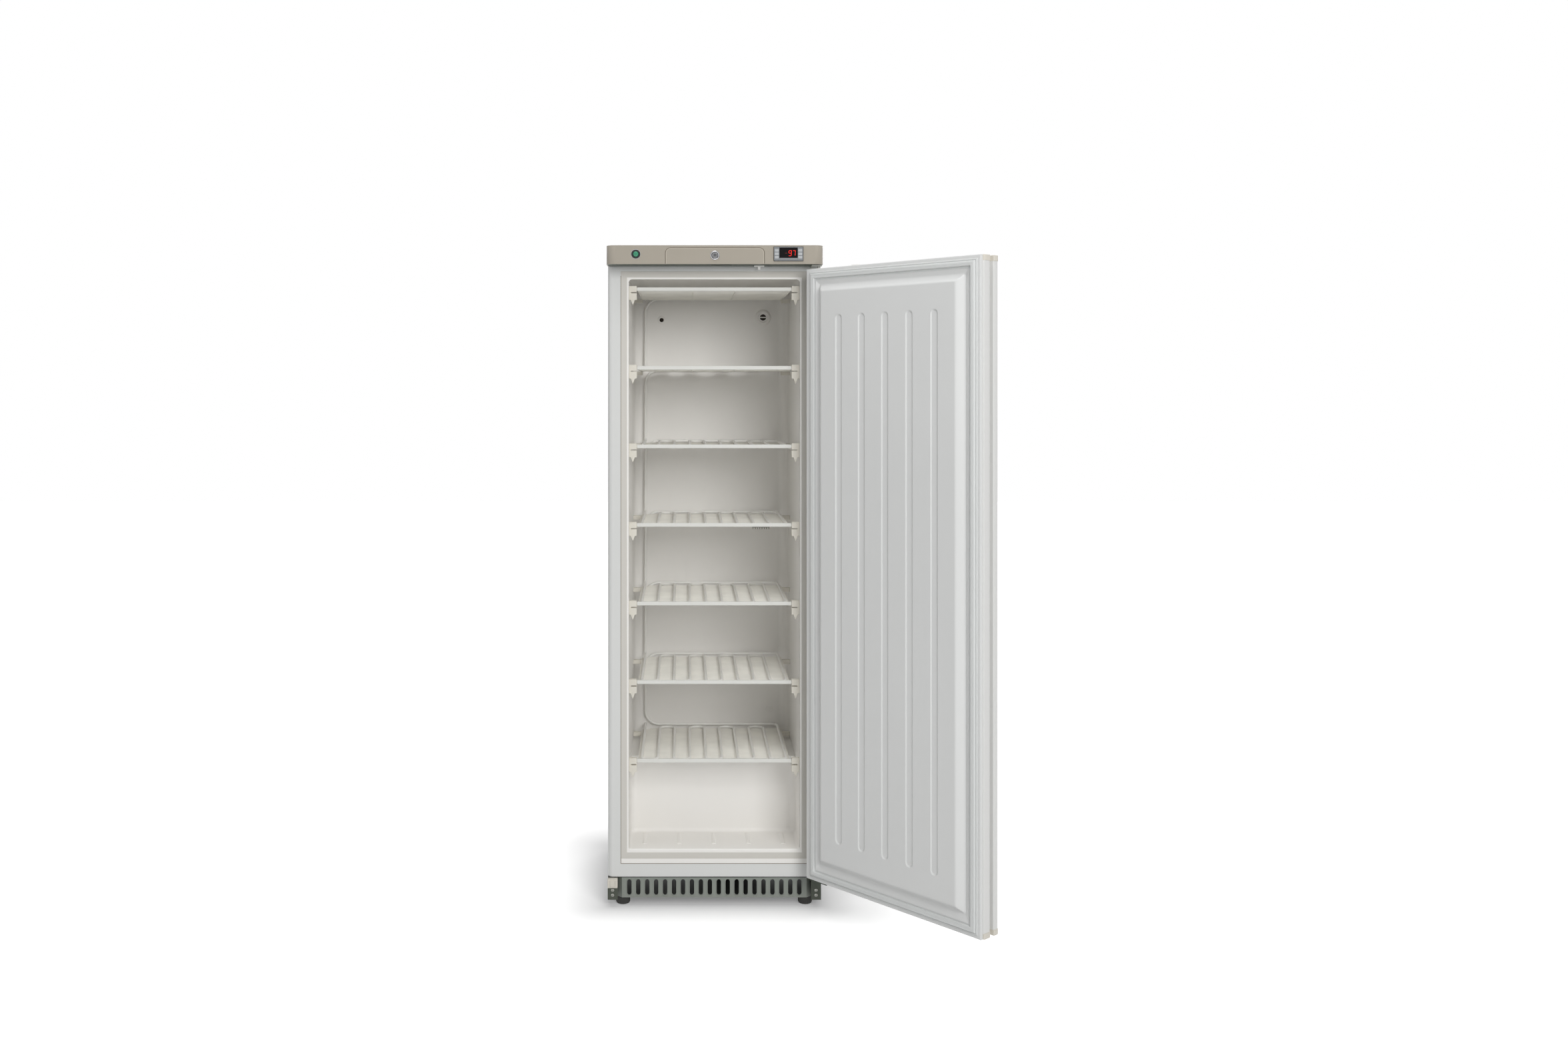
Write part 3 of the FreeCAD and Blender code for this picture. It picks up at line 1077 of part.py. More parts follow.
def door_skin():
    wall, right = v.door_skin_wall, v.door_width / 2
    back = door_inner - v.door_liner_wall
    shell = box_of(skin_edge, right, door_front, back, v.door_bottom, v.door_top).cut(
        box_of(skin_edge + wall, right - wall, door_front + wall, back + 1, v.door_bottom + wall, v.door_top - wall))
    strip = box_of(-liner_edge, skin_edge + wall, door_inner - v.handle_start, back, v.door_bottom, v.door_top)
    tools = bush_room() + [box_of(*keeper_box)]
    part("door_skin", on_door(solid("skin", shell.fuse(strip).cut(Part.makeCompound(tools)).removeSplitter())))


def door_insulation(panel_hollow):
    wall, right = v.door_skin_wall, v.door_width / 2
    back = door_inner - v.door_liner_wall
    foam = box_of(skin_edge + wall, right - wall, door_front + wall, back, v.door_bottom + wall, v.door_top - wall)
    strip = box_of(skin_edge, skin_edge + 2 * wall, door_inner - v.handle_start, back + 1, v.door_bottom, v.door_top)
    tools = bush_room() + [box_of(*keeper_box), strip]
    part("door_insulation", on_door(solid("door_foam", foam.fuse(panel_hollow).cut(Part.makeCompound(tools)))))


def door_gasket():
    outer = (-liner_edge + v.gasket_inset, liner_edge - v.gasket_inset,
             v.door_bottom + v.gasket_inset, v.door_top - v.gasket_inset)

    def ring(rectangle, width, low, high):
        x0, x1, z0, z1 = rectangle
        a0, a1, b0, b1 = inset(rectangle, width)
        return box_of(x0, x1, low, high, z0, z1).cut(box_of(a0, a1, low - 1, high + 1, b0, b1))

    foot = ring(outer, v.gasket_width, door_inner, door_inner + v.gasket_foot)
    bead = ring(inset(outer, (v.gasket_width - v.gasket_bead) / 2), v.gasket_bead,
                door_inner + v.gasket_foot, front - v.gap)
    part("door_gasket", on_door(solid("gasket", foot.fuse(bead).removeSplitter())))


def handle_section(proud, low, high):
    """The handle strip's section in plan: rounded front edge, lip, finger groove and wide rib."""
    out = -liner_edge - proud
    r = v.handle_round
    lip_end = door_inner - v.handle_start - v.handle_rib - v.handle_groove
    rib_start = lip_end + v.handle_groove
    rib_end = door_inner - v.handle_start
    groove_x = out + v.handle_groove_depth
    k = r * (1 - math.sqrt(0.5))
    at = lambda x, y: Vector(x, y, low)
    corners = [(out, door_front + r), (out, lip_end), (groove_x, lip_end), (groove_x, rib_start),
               (out, rib_start), (out, rib_end), (skin_edge, rib_end), (skin_edge, door_front), (out + r, door_front)]
    edges = [Part.LineSegment(at(*a), at(*b)).toShape() for a, b in zip(corners, corners[1:])]
    edges.append(Part.Arc(at(out + r, door_front), at(out + k, door_front + k), at(out, door_front + r)).toShape())
    return Part.Face(Part.Wire(edges)).extrude(Vector(0, 0, high - low))


def handle():
    low, high = v.door_bottom + v.cap_height, v.door_top - v.cap_height
    part("handle_strip", on_door(solid("strip", handle_section(v.handle_proud, low, high))))
    caps = [handle_section(v.handle_proud + v.cap_lip, v.door_bottom, low),
            handle_section(v.handle_proud + v.cap_lip, high, v.door_top)]
    part("handle_end_caps", on_door(solid("caps", Part.makeCompound(caps))))


def door_hinge_pieces():
    plate = box_of(v.door_width / 2 - v.door_plate_length, v.door_width / 2,
                   door_inner - v.door_plate_inset - v.door_plate_depth, door_inner - v.door_plate_inset,
                   v.door_bottom - v.door_plate, v.door_bottom)
    plate = plate.cut(Part.makeCylinder(v.bush_radius, v.door_plate + 2,
                                        Vector(pivot.x, pivot.y, v.door_bottom - v.door_plate - 1)))
    part("door_hinge_plate", on_door(solid("hinge_plate", plate)))
    bore = v.pin_radius + v.fit
    depth = v.pin_length + v.bush_flange
    low = v.door_bottom - v.door_plate
    bottom = turned([(v.bush_flange_radius, 0), (v.bush_flange_radius, v.bush_flange), (v.bush_radius, v.bush_flange),
                     (v.bush_radius, v.bush_flange + v.door_plate + depth)],
                    Vector(pivot.x, pivot.y, low - v.bush_flange), ROUND)
    bottom = bottom.cut(Part.makeCylinder(bore, v.bush_flange + v.door_plate + v.pin_length + v.gap,
                                          Vector(pivot.x, pivot.y, low - v.bush_flange)))
    top = turned([(v.bush_radius, 0), (v.bush_radius, depth), (v.bush_flange_radius, depth),
                  (v.bush_flange_radius, depth + v.bush_flange)], Vector(pivot.x, pivot.y, v.door_top - depth), ROUND)
    top = top.cut(Part.makeCylinder(bore, v.pin_length + v.gap + v.bush_flange + 1,
                                    Vector(pivot.x, pivot.y, v.door_top - v.pin_length - v.gap)))
    part("hinge_bushes", on_door(solid("bushes", Part.makeCompound([bottom, top]))))


def switch_striker():
    half = v.striker_width / 2
    slope = v.striker_height
    corners = [(half, 0), (half - slope, slope), (half - slope - v.striker_crest, slope), (-half, 0)]
    shape = prism_y([(v.striker_x + x, v.door_top + z) for x, z in corners],
                    front - v.peg_setback - v.striker_depth / 2, front - v.peg_setback + v.striker_depth / 2)
    part("switch_striker", on_door(solid("striker", shape)))


def on_door(obj):
    """Swing a piece of the closed door to the rest position about the hinge pins."""
    swing = FreeCAD.Placement(Vector(0, 0, 0), FreeCAD.Rotation(UP, v.door_open_angle), pivot)
    obj.Placement = swing.multiply(obj.Placement)
    return obj


# ---- Rear: condenser and compressor ----

def condenser_coil():
    half = v.condenser_width / 2
    y = rear + v.condenser_standoff
    shell_back = rear - v.compressor_back + v.compressor_radius
    outlet = v.compressor_height / 2 + compressor_base
    route = [Vector(v.compressor_x, shell_back, outlet), Vector(v.compressor_x, y, outlet),
             Vector(v.compressor_x, y, v.condenser_low)]
    for i in range(int(v.condenser_count)):
        z = v.condenser_low + i * v.condenser_pitch
        start, end = (half, -half) if i % 2 == 0 else (-half, half)
        if i:
            route.append(Vector(start, y, z))
        route.append(Vector(end, y, z))
    route = rounded_route(route, [v.condenser_bend] * len(route))
    print_least_gap("condenser_coil", route, v.condenser_radius)
    part("condenser_coil", solid("rear_coil", faceted_tube(route, v.condenser_radius)))


compressor_base = v.tray_height + v.tray_sheet + v.grommet_height + v.base_bar


def condenser_wires():
    y = rear + v.condenser_standoff + v.condenser_radius
    half = v.condenser_width / 2 - v.condenser_bend - v.condenser_wire
    low = v.condenser_low - v.condenser_bend
    high = v.condenser_low + (v.condenser_count - 1) * v.condenser_pitch + v.condenser_bend
    plate = box_of(-half, half, y, y + v.condenser_wire, low, high)
    pitch = (2 * half - v.condenser_wire) / (v.condenser_wires - 1)
    gaps = []
    for i in range(int(v.condenser_wires) - 1):
        x = -half + i * pitch
        gaps.append(box_of(x + v.condenser_wire, x + pitch, y - 1, y + v.condenser_wire + 1,
                           low + v.condenser_wire * 2, high - v.condenser_wire * 2))
    frame = plate.cut(Part.makeCompound(gaps))
    for x in (-half, half - v.spacer_width):
        for z in (low, high - v.condenser_wire * 2):
            frame = frame.fuse(box_of(x, x + v.spacer_width, rear, y + v.condenser_wire, z,
                                      z + v.condenser_wire * 2))
    part("condenser_wires", solid("rear_wires", frame.removeSplitter()))


def compressor():
    x, y = v.compressor_x, rear - v.compressor_back
    r, top, dome = v.compressor_radius, v.compressor_height, v.compressor_dome
    profile = [(0, 0), (r * 0.75, 0), (r * 0.93, dome * 0.2), (r, dome * 0.6), (r, top - dome),
               (r * 0.94, top - dome * 0.6), (r * 0.8, top - dome * 0.28), (r * 0.57, top - dome * 0.08),
               (r * 0.3, top), (0, top)]
    shell = turned(profile, Vector(x, y, compressor_base), ROUND)
    reach, depth = v.grommet_spread + v.grommet_radius, v.grommet_depth + v.grommet_radius
    bars = box_of(x - reach, x + reach, y - depth, y + depth, compressor_base - v.base_bar, compressor_base)
    part("compressor", solid("compressor_shell", shell.fuse(bars)))
    ring = [(v.grommet_radius, 0), (v.grommet_radius, v.grommet_height)]
    grommets = [turned(ring, Vector(x + sx * v.grommet_spread, y + sy * v.grommet_depth,
                                    v.tray_height + v.tray_sheet), SMALL_ROUND)
                for sx in (-1, 1) for sy in (-1, 1)]
    part("compressor_grommets", solid("grommets", Part.makeCompound(grommets)))
    middle = compressor_base + v.compressor_height / 2
    cover = box_of(x, x + r + v.terminal_depth, y - v.terminal_width / 2, y + v.terminal_width / 2,
                   middle - v.terminal_height / 2, middle + v.terminal_height / 2).cut(shell)
    part("terminal_cover", solid("terminal_box", max(cover.Solids, key=lambda piece: piece.BoundBox.XMax)))


def refrigerant_lines():
    """Filter drier with its two lines, beside the compressor."""
    x = v.compressor_x - v.compressor_radius - 3 * v.drier_radius
    y = rear - v.compressor_back
    bottom = compressor_base + v.compressor_height / 4
    drier = turned([(0, 0), (v.line_radius, 0), (v.drier_radius, v.drier_radius),
                      (v.drier_radius, v.drier_length - v.drier_radius), (v.line_radius, v.drier_length),
                      (0, v.drier_length)], Vector(x, y, bottom), SMALL_ROUND)
    ceiling = v.room_top - v.sheet
    bends = [v.line_bend] * 4
    rise = faceted_tube(rounded_route([Vector(x, y, bottom + v.drier_length - 1), Vector(x, y, ceiling - v.line_drop),
                                       Vector(x - v.line_shift, y, ceiling - v.line_drop),
                                       Vector(x - v.line_shift, y, ceiling)], bends), v.line_radius)
    turn = faceted_tube(rounded_route([Vector(x, y, bottom + 1), Vector(x, y, bottom - v.line_drop),
                                       Vector(v.compressor_x, y, bottom - v.line_drop)], bends), v.line_radius)
    shell = doc.getObject("compressor_shell").Shape
    part("refrigerant_lines", solid("lines", drier.fuse(rise).fuse(turn.cut(shell))))


def cable_gland():
    centre = ("gland_x", "tray_height + tray_sheet + tray_rim / 2")
    at = lambda depth: (centre[0], depth, centre[1])
    thread = rod("gland_thread", "y", at(f"{REAR} - sheet - tray_sheet - gland_length / 2"), "gland_radius",
                 "gland_length + tray_sheet", ROUND)
    collar = rod("gland_collar", "y", at(f"{REAR} - sheet"), "gland_flange", "gland_length / 4", HEXAGON)
    bore = rod("gland_hole", "y", at(f"{REAR} - sheet - tray_sheet - gland_length"), "gland_bore", "gland_length * 3")
    part("cable_gland", cut("gland", fuse("gland_blank", thread, collar), bore))


def build():
    side_panels()
    rails()
    outer_sheets()
    inner_liner()
    cabinet_insulation()
    base_tray()
    feet()
    plinth_grille()
    lower_hinge_bracket()
    upper_hinge_bracket()
    spare_bracket()
    bracket_screws()
    header()
    header_base()
    lock()
    lamp_switch()
    controller()
    door_switch()
    evaporator()
    shelf_clips()
    wall_fittings()
    panel_hollow = liner_panel()
    door_skin()
    door_insulation(panel_hollow)
    door_gasket()
    handle()
    door_hinge_pieces()
    switch_striker()
    condenser_coil()
    condenser_wires()
    compressor()
    refrigerant_lines()
    cable_gland()
    doc.recompute()


def export():
    """Stop on any failed object or bad shape, then write each sub-part."""
    for obj in doc.Objects:
        if "Invalid" in obj.State or "Error" in obj.State:
            raise RuntimeError(f"{obj.Label} failed: {obj.State}")
    for label, obj in PARTS.items():
        if obj.Shape.isNull() or not obj.Shape.isValid() or not obj.Shape.Solids:
            raise RuntimeError(f"{label} has no valid solid")
    os.makedirs("parts", exist_ok=True)
    for label, obj in PARTS.items():
        obj.Shape.exportStep(os.path.join("parts", label + ".step"))
    print(len(PARTS), "sub-parts written")


build()
export()
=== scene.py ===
"""Looks of an upright freezer with an open door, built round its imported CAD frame."""

import json
import math

import bmesh
import bpy
import numpy as np
from bpy.props import FloatProperty, FloatVectorProperty, IntProperty, PointerProperty
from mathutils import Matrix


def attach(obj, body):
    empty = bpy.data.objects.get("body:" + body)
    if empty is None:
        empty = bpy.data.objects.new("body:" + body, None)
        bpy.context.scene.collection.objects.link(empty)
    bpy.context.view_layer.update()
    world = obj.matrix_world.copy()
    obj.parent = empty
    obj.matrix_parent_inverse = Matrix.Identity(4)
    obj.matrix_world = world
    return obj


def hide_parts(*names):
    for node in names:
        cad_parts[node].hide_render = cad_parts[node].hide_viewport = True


bl_info = {
    "name": "Upright Freezer",
    "version": (1, 0, 0),
    "blender": (4, 5, 0),
    "location": "View3D > Sidebar > Freezer",
    "description": "Dresses the CAD frame of an upright freezer",
    "category": "Object",
}

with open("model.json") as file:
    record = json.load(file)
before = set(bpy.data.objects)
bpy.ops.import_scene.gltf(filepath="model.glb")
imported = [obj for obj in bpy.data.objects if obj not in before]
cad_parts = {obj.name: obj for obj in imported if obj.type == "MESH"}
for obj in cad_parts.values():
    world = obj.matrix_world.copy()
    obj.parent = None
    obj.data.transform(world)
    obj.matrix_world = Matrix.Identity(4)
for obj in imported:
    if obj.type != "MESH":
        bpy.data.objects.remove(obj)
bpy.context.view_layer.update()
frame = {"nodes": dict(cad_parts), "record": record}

# Millimetres, as in the CAD: x to the right, y to the rear, z up.
FRONT = -262.0
REAR = 262.0
HEADER_FRONT = FRONT - 78
ZONE_FRONT = HEADER_FRONT - 1
DOOR_INNER = FRONT - 8
CORE_FRONT = HEADER_FRONT - 4
LOCK_HEIGHT = 1827
ZONE_EDGE = 136.5
GASKET_BOX = (-283, 283, 115, 1780)
GASKET_WIDTH = 24
PIVOT = np.array([290.0, FRONT - 50, 0.0])
DOOR_OPEN = math.radians(131.2)
SHELF_HEIGHTS = 406 + 222.4 * np.arange(7)
RAIL_Y = FRONT + 22
SHELF_REAR = RAIL_Y + 401
BACK_WALL = 208.0
CONDENSER_Y = REAR + 18
COMPRESSOR = (60, 132)


def tone(red, green, blue):
    """A display colour in 0 to 255 as linear numbers."""
    share = np.array([red, green, blue]) / 255
    linear = np.where(share <= 0.04045, share / 12.92, ((share + 0.055) / 1.055) ** 2.4)
    return tuple(float(x) for x in linear)


def colour(label, red, green, blue, note):
    return FloatVectorProperty(name=label, description=note, subtype="COLOR", size=3, min=0, max=1,
                               default=tone(red, green, blue))


def length(label, value, note):
    return FloatProperty(name=label, description=note, subtype="DISTANCE", unit="LENGTH", min=0, precision=4,
                         default=value)


class FreezerSizes(bpy.types.PropertyGroup):
    """Sizes of the fine detail."""
    wire_pitch: length("Shelf wire pitch", 0.0075, "Distance between the fine wires of a shelf")
    wire_radius: length("Shelf wire radius", 0.0009, "Radius of a fine shelf wire")
    tube_radius: length("Evaporator tube radius", 0.004, "Radius of the refrigerant tube in the shelves")
    rear_tube_radius: length("Condenser tube radius", 0.0028, "Radius of the tube on the back")
    rear_wire_count: IntProperty(name="Condenser wires", description="Upright wires on each side of the condenser",
                                 default=56, min=4)
    panel_bevel: length("Door panel bevel", 0.022, "Width of the slope round the door's raised panel")
    groove_depth: length("Door groove depth", 0.0025, "Depth of the grooves in the door's liner")
    edge_round: length("Edge rounding", 0.0008, "Rounding of the folded and moulded edges")
    foot_ribs: IntProperty(name="Foot ribs", description="Fine ribs round a foot", default=36, min=6)


class FreezerColours(bpy.types.PropertyGroup):
    """Colours of the finishes."""
    sheet: colour("Enamelled sheet", 218, 219, 217, "Outer sheets and door skin")
    liner: colour("Cabinet liner", 243, 241, 237, "Moulded liner of the cabinet")
    door_liner: colour("Door liner", 220, 221, 220, "Moulded liner of the door")
    header: colour("Header", 165, 158, 146, "Moulded header")
    clips: colour("Shelf clips", 226, 222, 211, "Plastic clips at the rails")
    tube: colour("Shelf tube", 248, 247, 243, "Evaporator tube")
    wire: colour("Shelf wire", 240, 238, 230, "Fine wires of the shelves")
    rail: colour("Front rail", 224, 224, 219, "Front rails of the shelves")
    grille: colour("Grille", 135, 141, 134, "Plinth grille")
    bracket: colour("Brackets", 60, 68, 57, "Hinge brackets")
    button: colour("Lamp switch", 22, 128, 92, "Translucent button")
    digits: colour("Display digits", 240, 40, 32, "Lit segments")


# ---------------------------------------------------------------- surfaces

def quads(rows, columns, closed_rows=False, closed_columns=False, start=0):
    """Faces between neighbouring points of a grid; a closed direction joins its last line to its first."""
    i = np.arange(rows if closed_rows else rows - 1)[:, None]
    j = np.arange(columns if closed_columns else columns - 1)[None, :]
    following_i, following_j = (i + 1) % rows, (j + 1) % columns
    corners = [i * columns + j, following_i * columns + j, following_i * columns + following_j,
               i * columns + following_j]
    return (np.stack(np.broadcast_arrays(*corners), -1).reshape(-1, 4) + start).tolist()


def sheet_of(points, closed_rows=False, closed_columns=False):
    """A surface given by a grid of points, as (points, faces)."""
    rows, columns = points.shape[:2]
    return points.reshape(-1, 3), quads(rows, columns, closed_rows, closed_columns)


def capped(points):
    """Rings of points joined one after another, with a flat face over the first and the last ring."""
    rows, columns = points.shape[:2]
    flat, faces = sheet_of(points, closed_columns=True)
    faces.append(list(range(columns))[::-1])
    faces.append(list(range((rows - 1) * columns, rows * columns)))
    return flat, faces


def joined(*parts):
    """Several (points, faces) as one."""
    points, faces, start = [], [], 0
    for some_points, some_faces in parts:
        points.append(some_points)
        faces += [[start + index for index in face] for face in some_faces]
        start += len(some_points)
    return np.concatenate(points), faces


def repeated(part, places):
    """A part at several places, as one; places is an array of shifts."""
    points, faces = part
    places = np.asarray(places, float)
    everywhere = (points[None] + places[:, None]).reshape(-1, 3)
    count = len(points)
    return everywhere, [[index + k * count for index in face] for k in range(len(places)) for face in faces]


def unit(vectors):
    return vectors / np.linalg.norm(vectors, axis=-1, keepdims=True)


def arcs(before, corner, after, room, steps):
    """The arc of each corner: it touches both runs at a distance of room from the corner."""
    into, out = unit(corner - before), unit(after - corner)
    turn = np.arccos(np.clip((into * out).sum(-1), -1, 1))[:, None]
    centre = corner + unit(out - into) * room / np.maximum(np.sin(turn / 2), 1e-6)
    first, last = corner - into * room - centre, corner + out * room - centre
    share = np.linspace(0, 1, steps + 1)[None, :, None]
    turn = np.maximum(turn, 1e-6)[:, None]
    spokes = (np.sin((1 - share) * turn) * first[:, None] + np.sin(share * turn) * last[:, None]) / np.sin(turn)
    return centre[:, None] + spokes


def rounded(points, radii, steps=6):
    """A route whose corners are arcs, each limited to half of the runs beside it."""
    p, radii = np.asarray(points, float), np.asarray(radii, float)
    runs = np.linalg.norm(np.diff(p, axis=0), axis=1)
    room = np.minimum(radii[1:-1], np.minimum(runs[:-1], runs[1:]) / 2)[:, None]
    bends = arcs(p[:-2], p[1:-1], p[2:], room, steps).reshape(-1, 3)
    route = np.concatenate([p[:1], bends, p[-1:]])
    keep = np.linalg.norm(np.diff(route, axis=0), axis=1) > 1e-4
    return np.concatenate([route[:1], route[1:][keep]])


def rounded_loop(corners, radii, steps=4):
    """A closed flat outline of (across, along) corners, each replaced by an arc."""
    flat = np.asarray(corners, float)
    p = np.concatenate([flat, np.zeros((len(flat), 1))], 1)
    before, after = np.roll(p, 1, 0), np.roll(p, -1, 0)
    nearest = np.minimum(np.linalg.norm(p - before, axis=1), np.linalg.norm(after - p, axis=1)) / 2
    room = np.minimum(np.asarray(radii, float), nearest * 0.98)[:, None]
    return arcs(before, p, after, room, steps).reshape(-1, 3)[:, :2]


def tube(path, radius, sides=12, away=(0.48, 0.6, 0.64)):
    """A circle carried along a path, square to it at each point, between two flat ends."""
    runs = unit(np.diff(path, axis=0))
    heading = unit(np.concatenate([runs[:1], runs[:-1] + runs[1:], runs[-1:]]))
    across = unit(np.cross(np.array(away), heading))
    above = np.cross(heading, across)
    angle = np.linspace(0, 2 * np.pi, sides, endpoint=False)[None, :, None]
    rings = path[:, None] + radius * (np.cos(angle) * across[:, None] + np.sin(angle) * above[:, None])
    return capped(rings)


def turned(profile, centre, axis="front", segments=48, closed=False):
    """A profile of (radius, height) turned about an axis that points to the front or up."""
    radius, height = np.asarray(profile, float).T
    angle = np.linspace(0, 2 * np.pi, segments, endpoint=False)
    x = radius[:, None] * np.cos(angle)
    other = radius[:, None] * np.sin(angle)
    along = np.broadcast_to(height[:, None], x.shape)
    points = np.stack([x, -along, other] if axis == "front" else [x, other, along], -1)
    return sheet_of(points + np.asarray(centre, float), closed, True)


def upright(section, low, high):
    """A closed plan section of (x, y) points carried straight up."""
    return capped(np.stack([np.insert(section, 2, z, axis=1) for z in (low, high)]))


def carried(outline, depths):
    """A closed outline of (x, z) points carried straight from one depth to another."""
    return capped(np.stack([np.insert(outline, 1, y, axis=1) for y in depths]))


def mitred(profile, box):
    """A profile of (inwards, y) at the four mitred corners of an upright rectangle (x0, x1, z0, z1)."""
    a, depth = np.asarray(profile, float).T
    x0, x1, z0, z1 = box
    corners = ((x0 + a, z0 + a), (x1 - a, z0 + a), (x1 - a, z1 - a), (x0 + a, z1 - a))
    return np.stack([np.stack([x, depth, z], -1) for x, z in corners], 1)


def square_loop(profile, box):
    """A profile of (inwards, y) carried round an upright rectangle with mitred corners."""
    return sheet_of(mitred(profile, box), True, True)


def slab(x, y, z):
    """A block between three pairs of limits; the edges of some pieces made from it are rounded by a modifier."""
    bottom = np.array([[x[0], y[0]], [x[1], y[0]], [x[1], y[1]], [x[0], y[1]]], float)
    return upright(bottom, *z)


def swung(part):
    """A piece of the closed door turned to the open rest position about the hinge pins."""
    points, faces = part
    c, s = math.cos(DOOR_OPEN), math.sin(DOOR_OPEN)
    turn = np.array([[c, -s, 0], [s, c, 0], [0, 0, 1]])
    return (points - PIVOT) @ turn.T + PIVOT, faces


def eased(share):
    """0 to 1 with level ends: three squares less two cubes."""
    share = np.clip(share, 0, 1)
    return share * share * (3 - 2 * share)


def shaded(mesh, sharp=35):
    """Merges doubles, points the faces outwards and keeps edges over the angle sharp."""
    work = bmesh.new()
    work.from_mesh(mesh)
    bmesh.ops.remove_doubles(work, verts=work.verts, dist=2e-7)
    bmesh.ops.dissolve_degenerate(work, edges=work.edges, dist=1e-7)
    bmesh.ops.recalc_face_normals(work, faces=work.faces)
    work.to_mesh(mesh)
    work.free()
    mesh.polygons.foreach_set("use_smooth", np.ones(len(mesh.polygons), bool))
    mesh.set_sharp_from_angle(angle=math.radians(sharp))


def made(name, part, body, slot, nodes=(), look=None, edge=0.0, sharp=35):
    """A finished piece in millimetres: its mesh, its finish, which is its slot's unless another look is given,
    its body and the CAD nodes it stands for."""
    points, faces = part
    if not len(points) or not np.isfinite(points).all():
        raise RuntimeError(name + " has no sound shape")
    mesh = bpy.data.meshes.new(name)
    mesh.from_pydata((points * 0.001).tolist(), [], faces)
    shaded(mesh, sharp)
    mesh.materials.append(look or palette()[slot])
    obj = bpy.data.objects.new(name, mesh)
    bpy.context.scene.collection.objects.link(obj)
    if edge:
        softened(obj, edge)
    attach(obj, body)
    if nodes:
        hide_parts(*nodes)
    return obj


def softened(obj, width, weld=False):
    """Rounds the edges of a piece with modifiers."""
    if weld:
        merge = obj.modifiers.new("Merge", "WELD")
        merge.merge_threshold = 0.00001
    bevel = obj.modifiers.new("Rounded edges", "BEVEL")
    bevel.width = width
    bevel.segments = 2
    bevel.limit_method = "ANGLE"
    bevel.angle_limit = math.radians(40)
    bevel.harden_normals = weld


# ---------------------------------------------------------------- finishes

def add_node(tree, kind, values=(), sources=(), **settings):
    """A shader node with its settings, the values of its inputs and the sockets that feed them."""
    node = tree.nodes.new("ShaderNode" + kind)
    for name, setting in settings.items():
        setattr(node, name, setting)
    for name, value in dict(values).items():
        node.inputs[name].default_value = value
    for name, source in dict(sources).items():
        tree.links.new(source, node.inputs[name])
    return node


def noise(tree, place, scale, detail):
    """Cloudy patches, from 0 to 1."""
    return add_node(tree, "TexNoise", {"Scale": scale, "Detail": detail}, {"Vector": place}).outputs["Fac"]


def graded(tree, value, source, target):
    """A value carried from one range to another in a straight line, held at both ends."""
    limits = dict(zip(("From Min", "From Max", "To Min", "To Max"), (*source, *target)))
    return add_node(tree, "MapRange", limits, {"Value": value}).outputs["Result"]


def blended(tree, share, first, second):
    """A mix of two colours by a share; each colour is a socket or a fixed one."""
    mix = add_node(tree, "Mix", sources={"Factor": share}, data_type="RGBA")
    for name, end in (("A", first), ("B", second)):
        if isinstance(end, bpy.types.NodeSocket):
            tree.links.new(end, mix.inputs[name])
        else:
            mix.inputs[name].default_value = (*np.clip(end, 0, 1), 1)
    return mix.outputs["Result"]


def seen_directly(tree):
    """1 for what the camera, a mirror or glass sees, and 0 for the light that falls on the object."""
    ray = add_node(tree, "LightPath").outputs
    seen = ray["Is Camera Ray"]
    for kind in ("Is Glossy Ray", "Is Transmission Ray"):
        seen = add_node(tree, "Math", sources={0: seen, 1: ray[kind]}, operation="MAXIMUM").outputs[0]
    return seen


def finish(name, base, rough=0.4, metal=0.0, mottle=0.03, patch=5.0, grain=700.0, bump=0.04, coat=0.0,
           stretch=(1, 1, 1), spangle=0.0, glow=0.0, dust=0.0, shine=0.5, wear=0.0):
    """A procedural finish in Object coordinates: broad colour patches, fine grain in height, and where asked
    zinc crystals, dust that gathers low down, rubbed spots or a lit surface."""
    found = bpy.data.materials.get(name)
    if found:
        return found
    material = bpy.data.materials.new(name)
    material.use_nodes = True
    tree = material.node_tree
    place = add_node(tree, "TexCoord").outputs["Object"]
    stretched = add_node(tree, "Mapping", {"Scale": stretch}, {"Vector": place}).outputs["Vector"]
    broad, fine = noise(tree, stretched, patch, 3), noise(tree, stretched, grain, 2)
    base = np.array(base[:])
    shade = blended(tree, broad, base * (1 - mottle * 1.6), base * (1 + mottle))
    if spangle:
        cells = add_node(tree, "TexVoronoi", {"Scale": 90}, {"Vector": place}).outputs["Color"]
        crystal = add_node(tree, "SeparateColor", sources={"Color": cells}).outputs["Red"]
        shade = blended(tree, crystal, base * (1 - spangle), shade)
    if dust:
        height = add_node(tree, "SeparateXYZ", sources={"Vector": place}).outputs["Z"]
        shade = blended(tree, graded(tree, height, (0.09, 0.02), (0, dust)), shade, (0.32, 0.30, 0.27))
    if wear:
        rubbed = graded(tree, noise(tree, place, 55, 5), (0.62, 0.74), (0, wear))
        shade = blended(tree, rubbed, shade, base * 1.7 + 0.05)
    gloss = graded(tree, broad, (0, 1), (max(rough - 0.07, 0.02), min(rough + 0.09, 1)))
    relief = add_node(tree, "Bump", {"Strength": bump, "Distance": 0.0006}, {"Height": fine}).outputs["Normal"]
    inputs = tree.nodes["Principled BSDF"].inputs
    for socket, value in (("Metallic", metal), ("Coat Weight", coat), ("Coat Roughness", 0.12),
                          ("Specular IOR Level", shine)):
        inputs[socket].default_value = value
    for socket, source in (("Base Color", shade), ("Roughness", gloss), ("Normal", relief)):
        tree.links.new(source, inputs[socket])
    if glow:
        inputs["Emission Color"].default_value = (*base, 1)
        inputs["Emission Strength"].default_value = glow
    return material


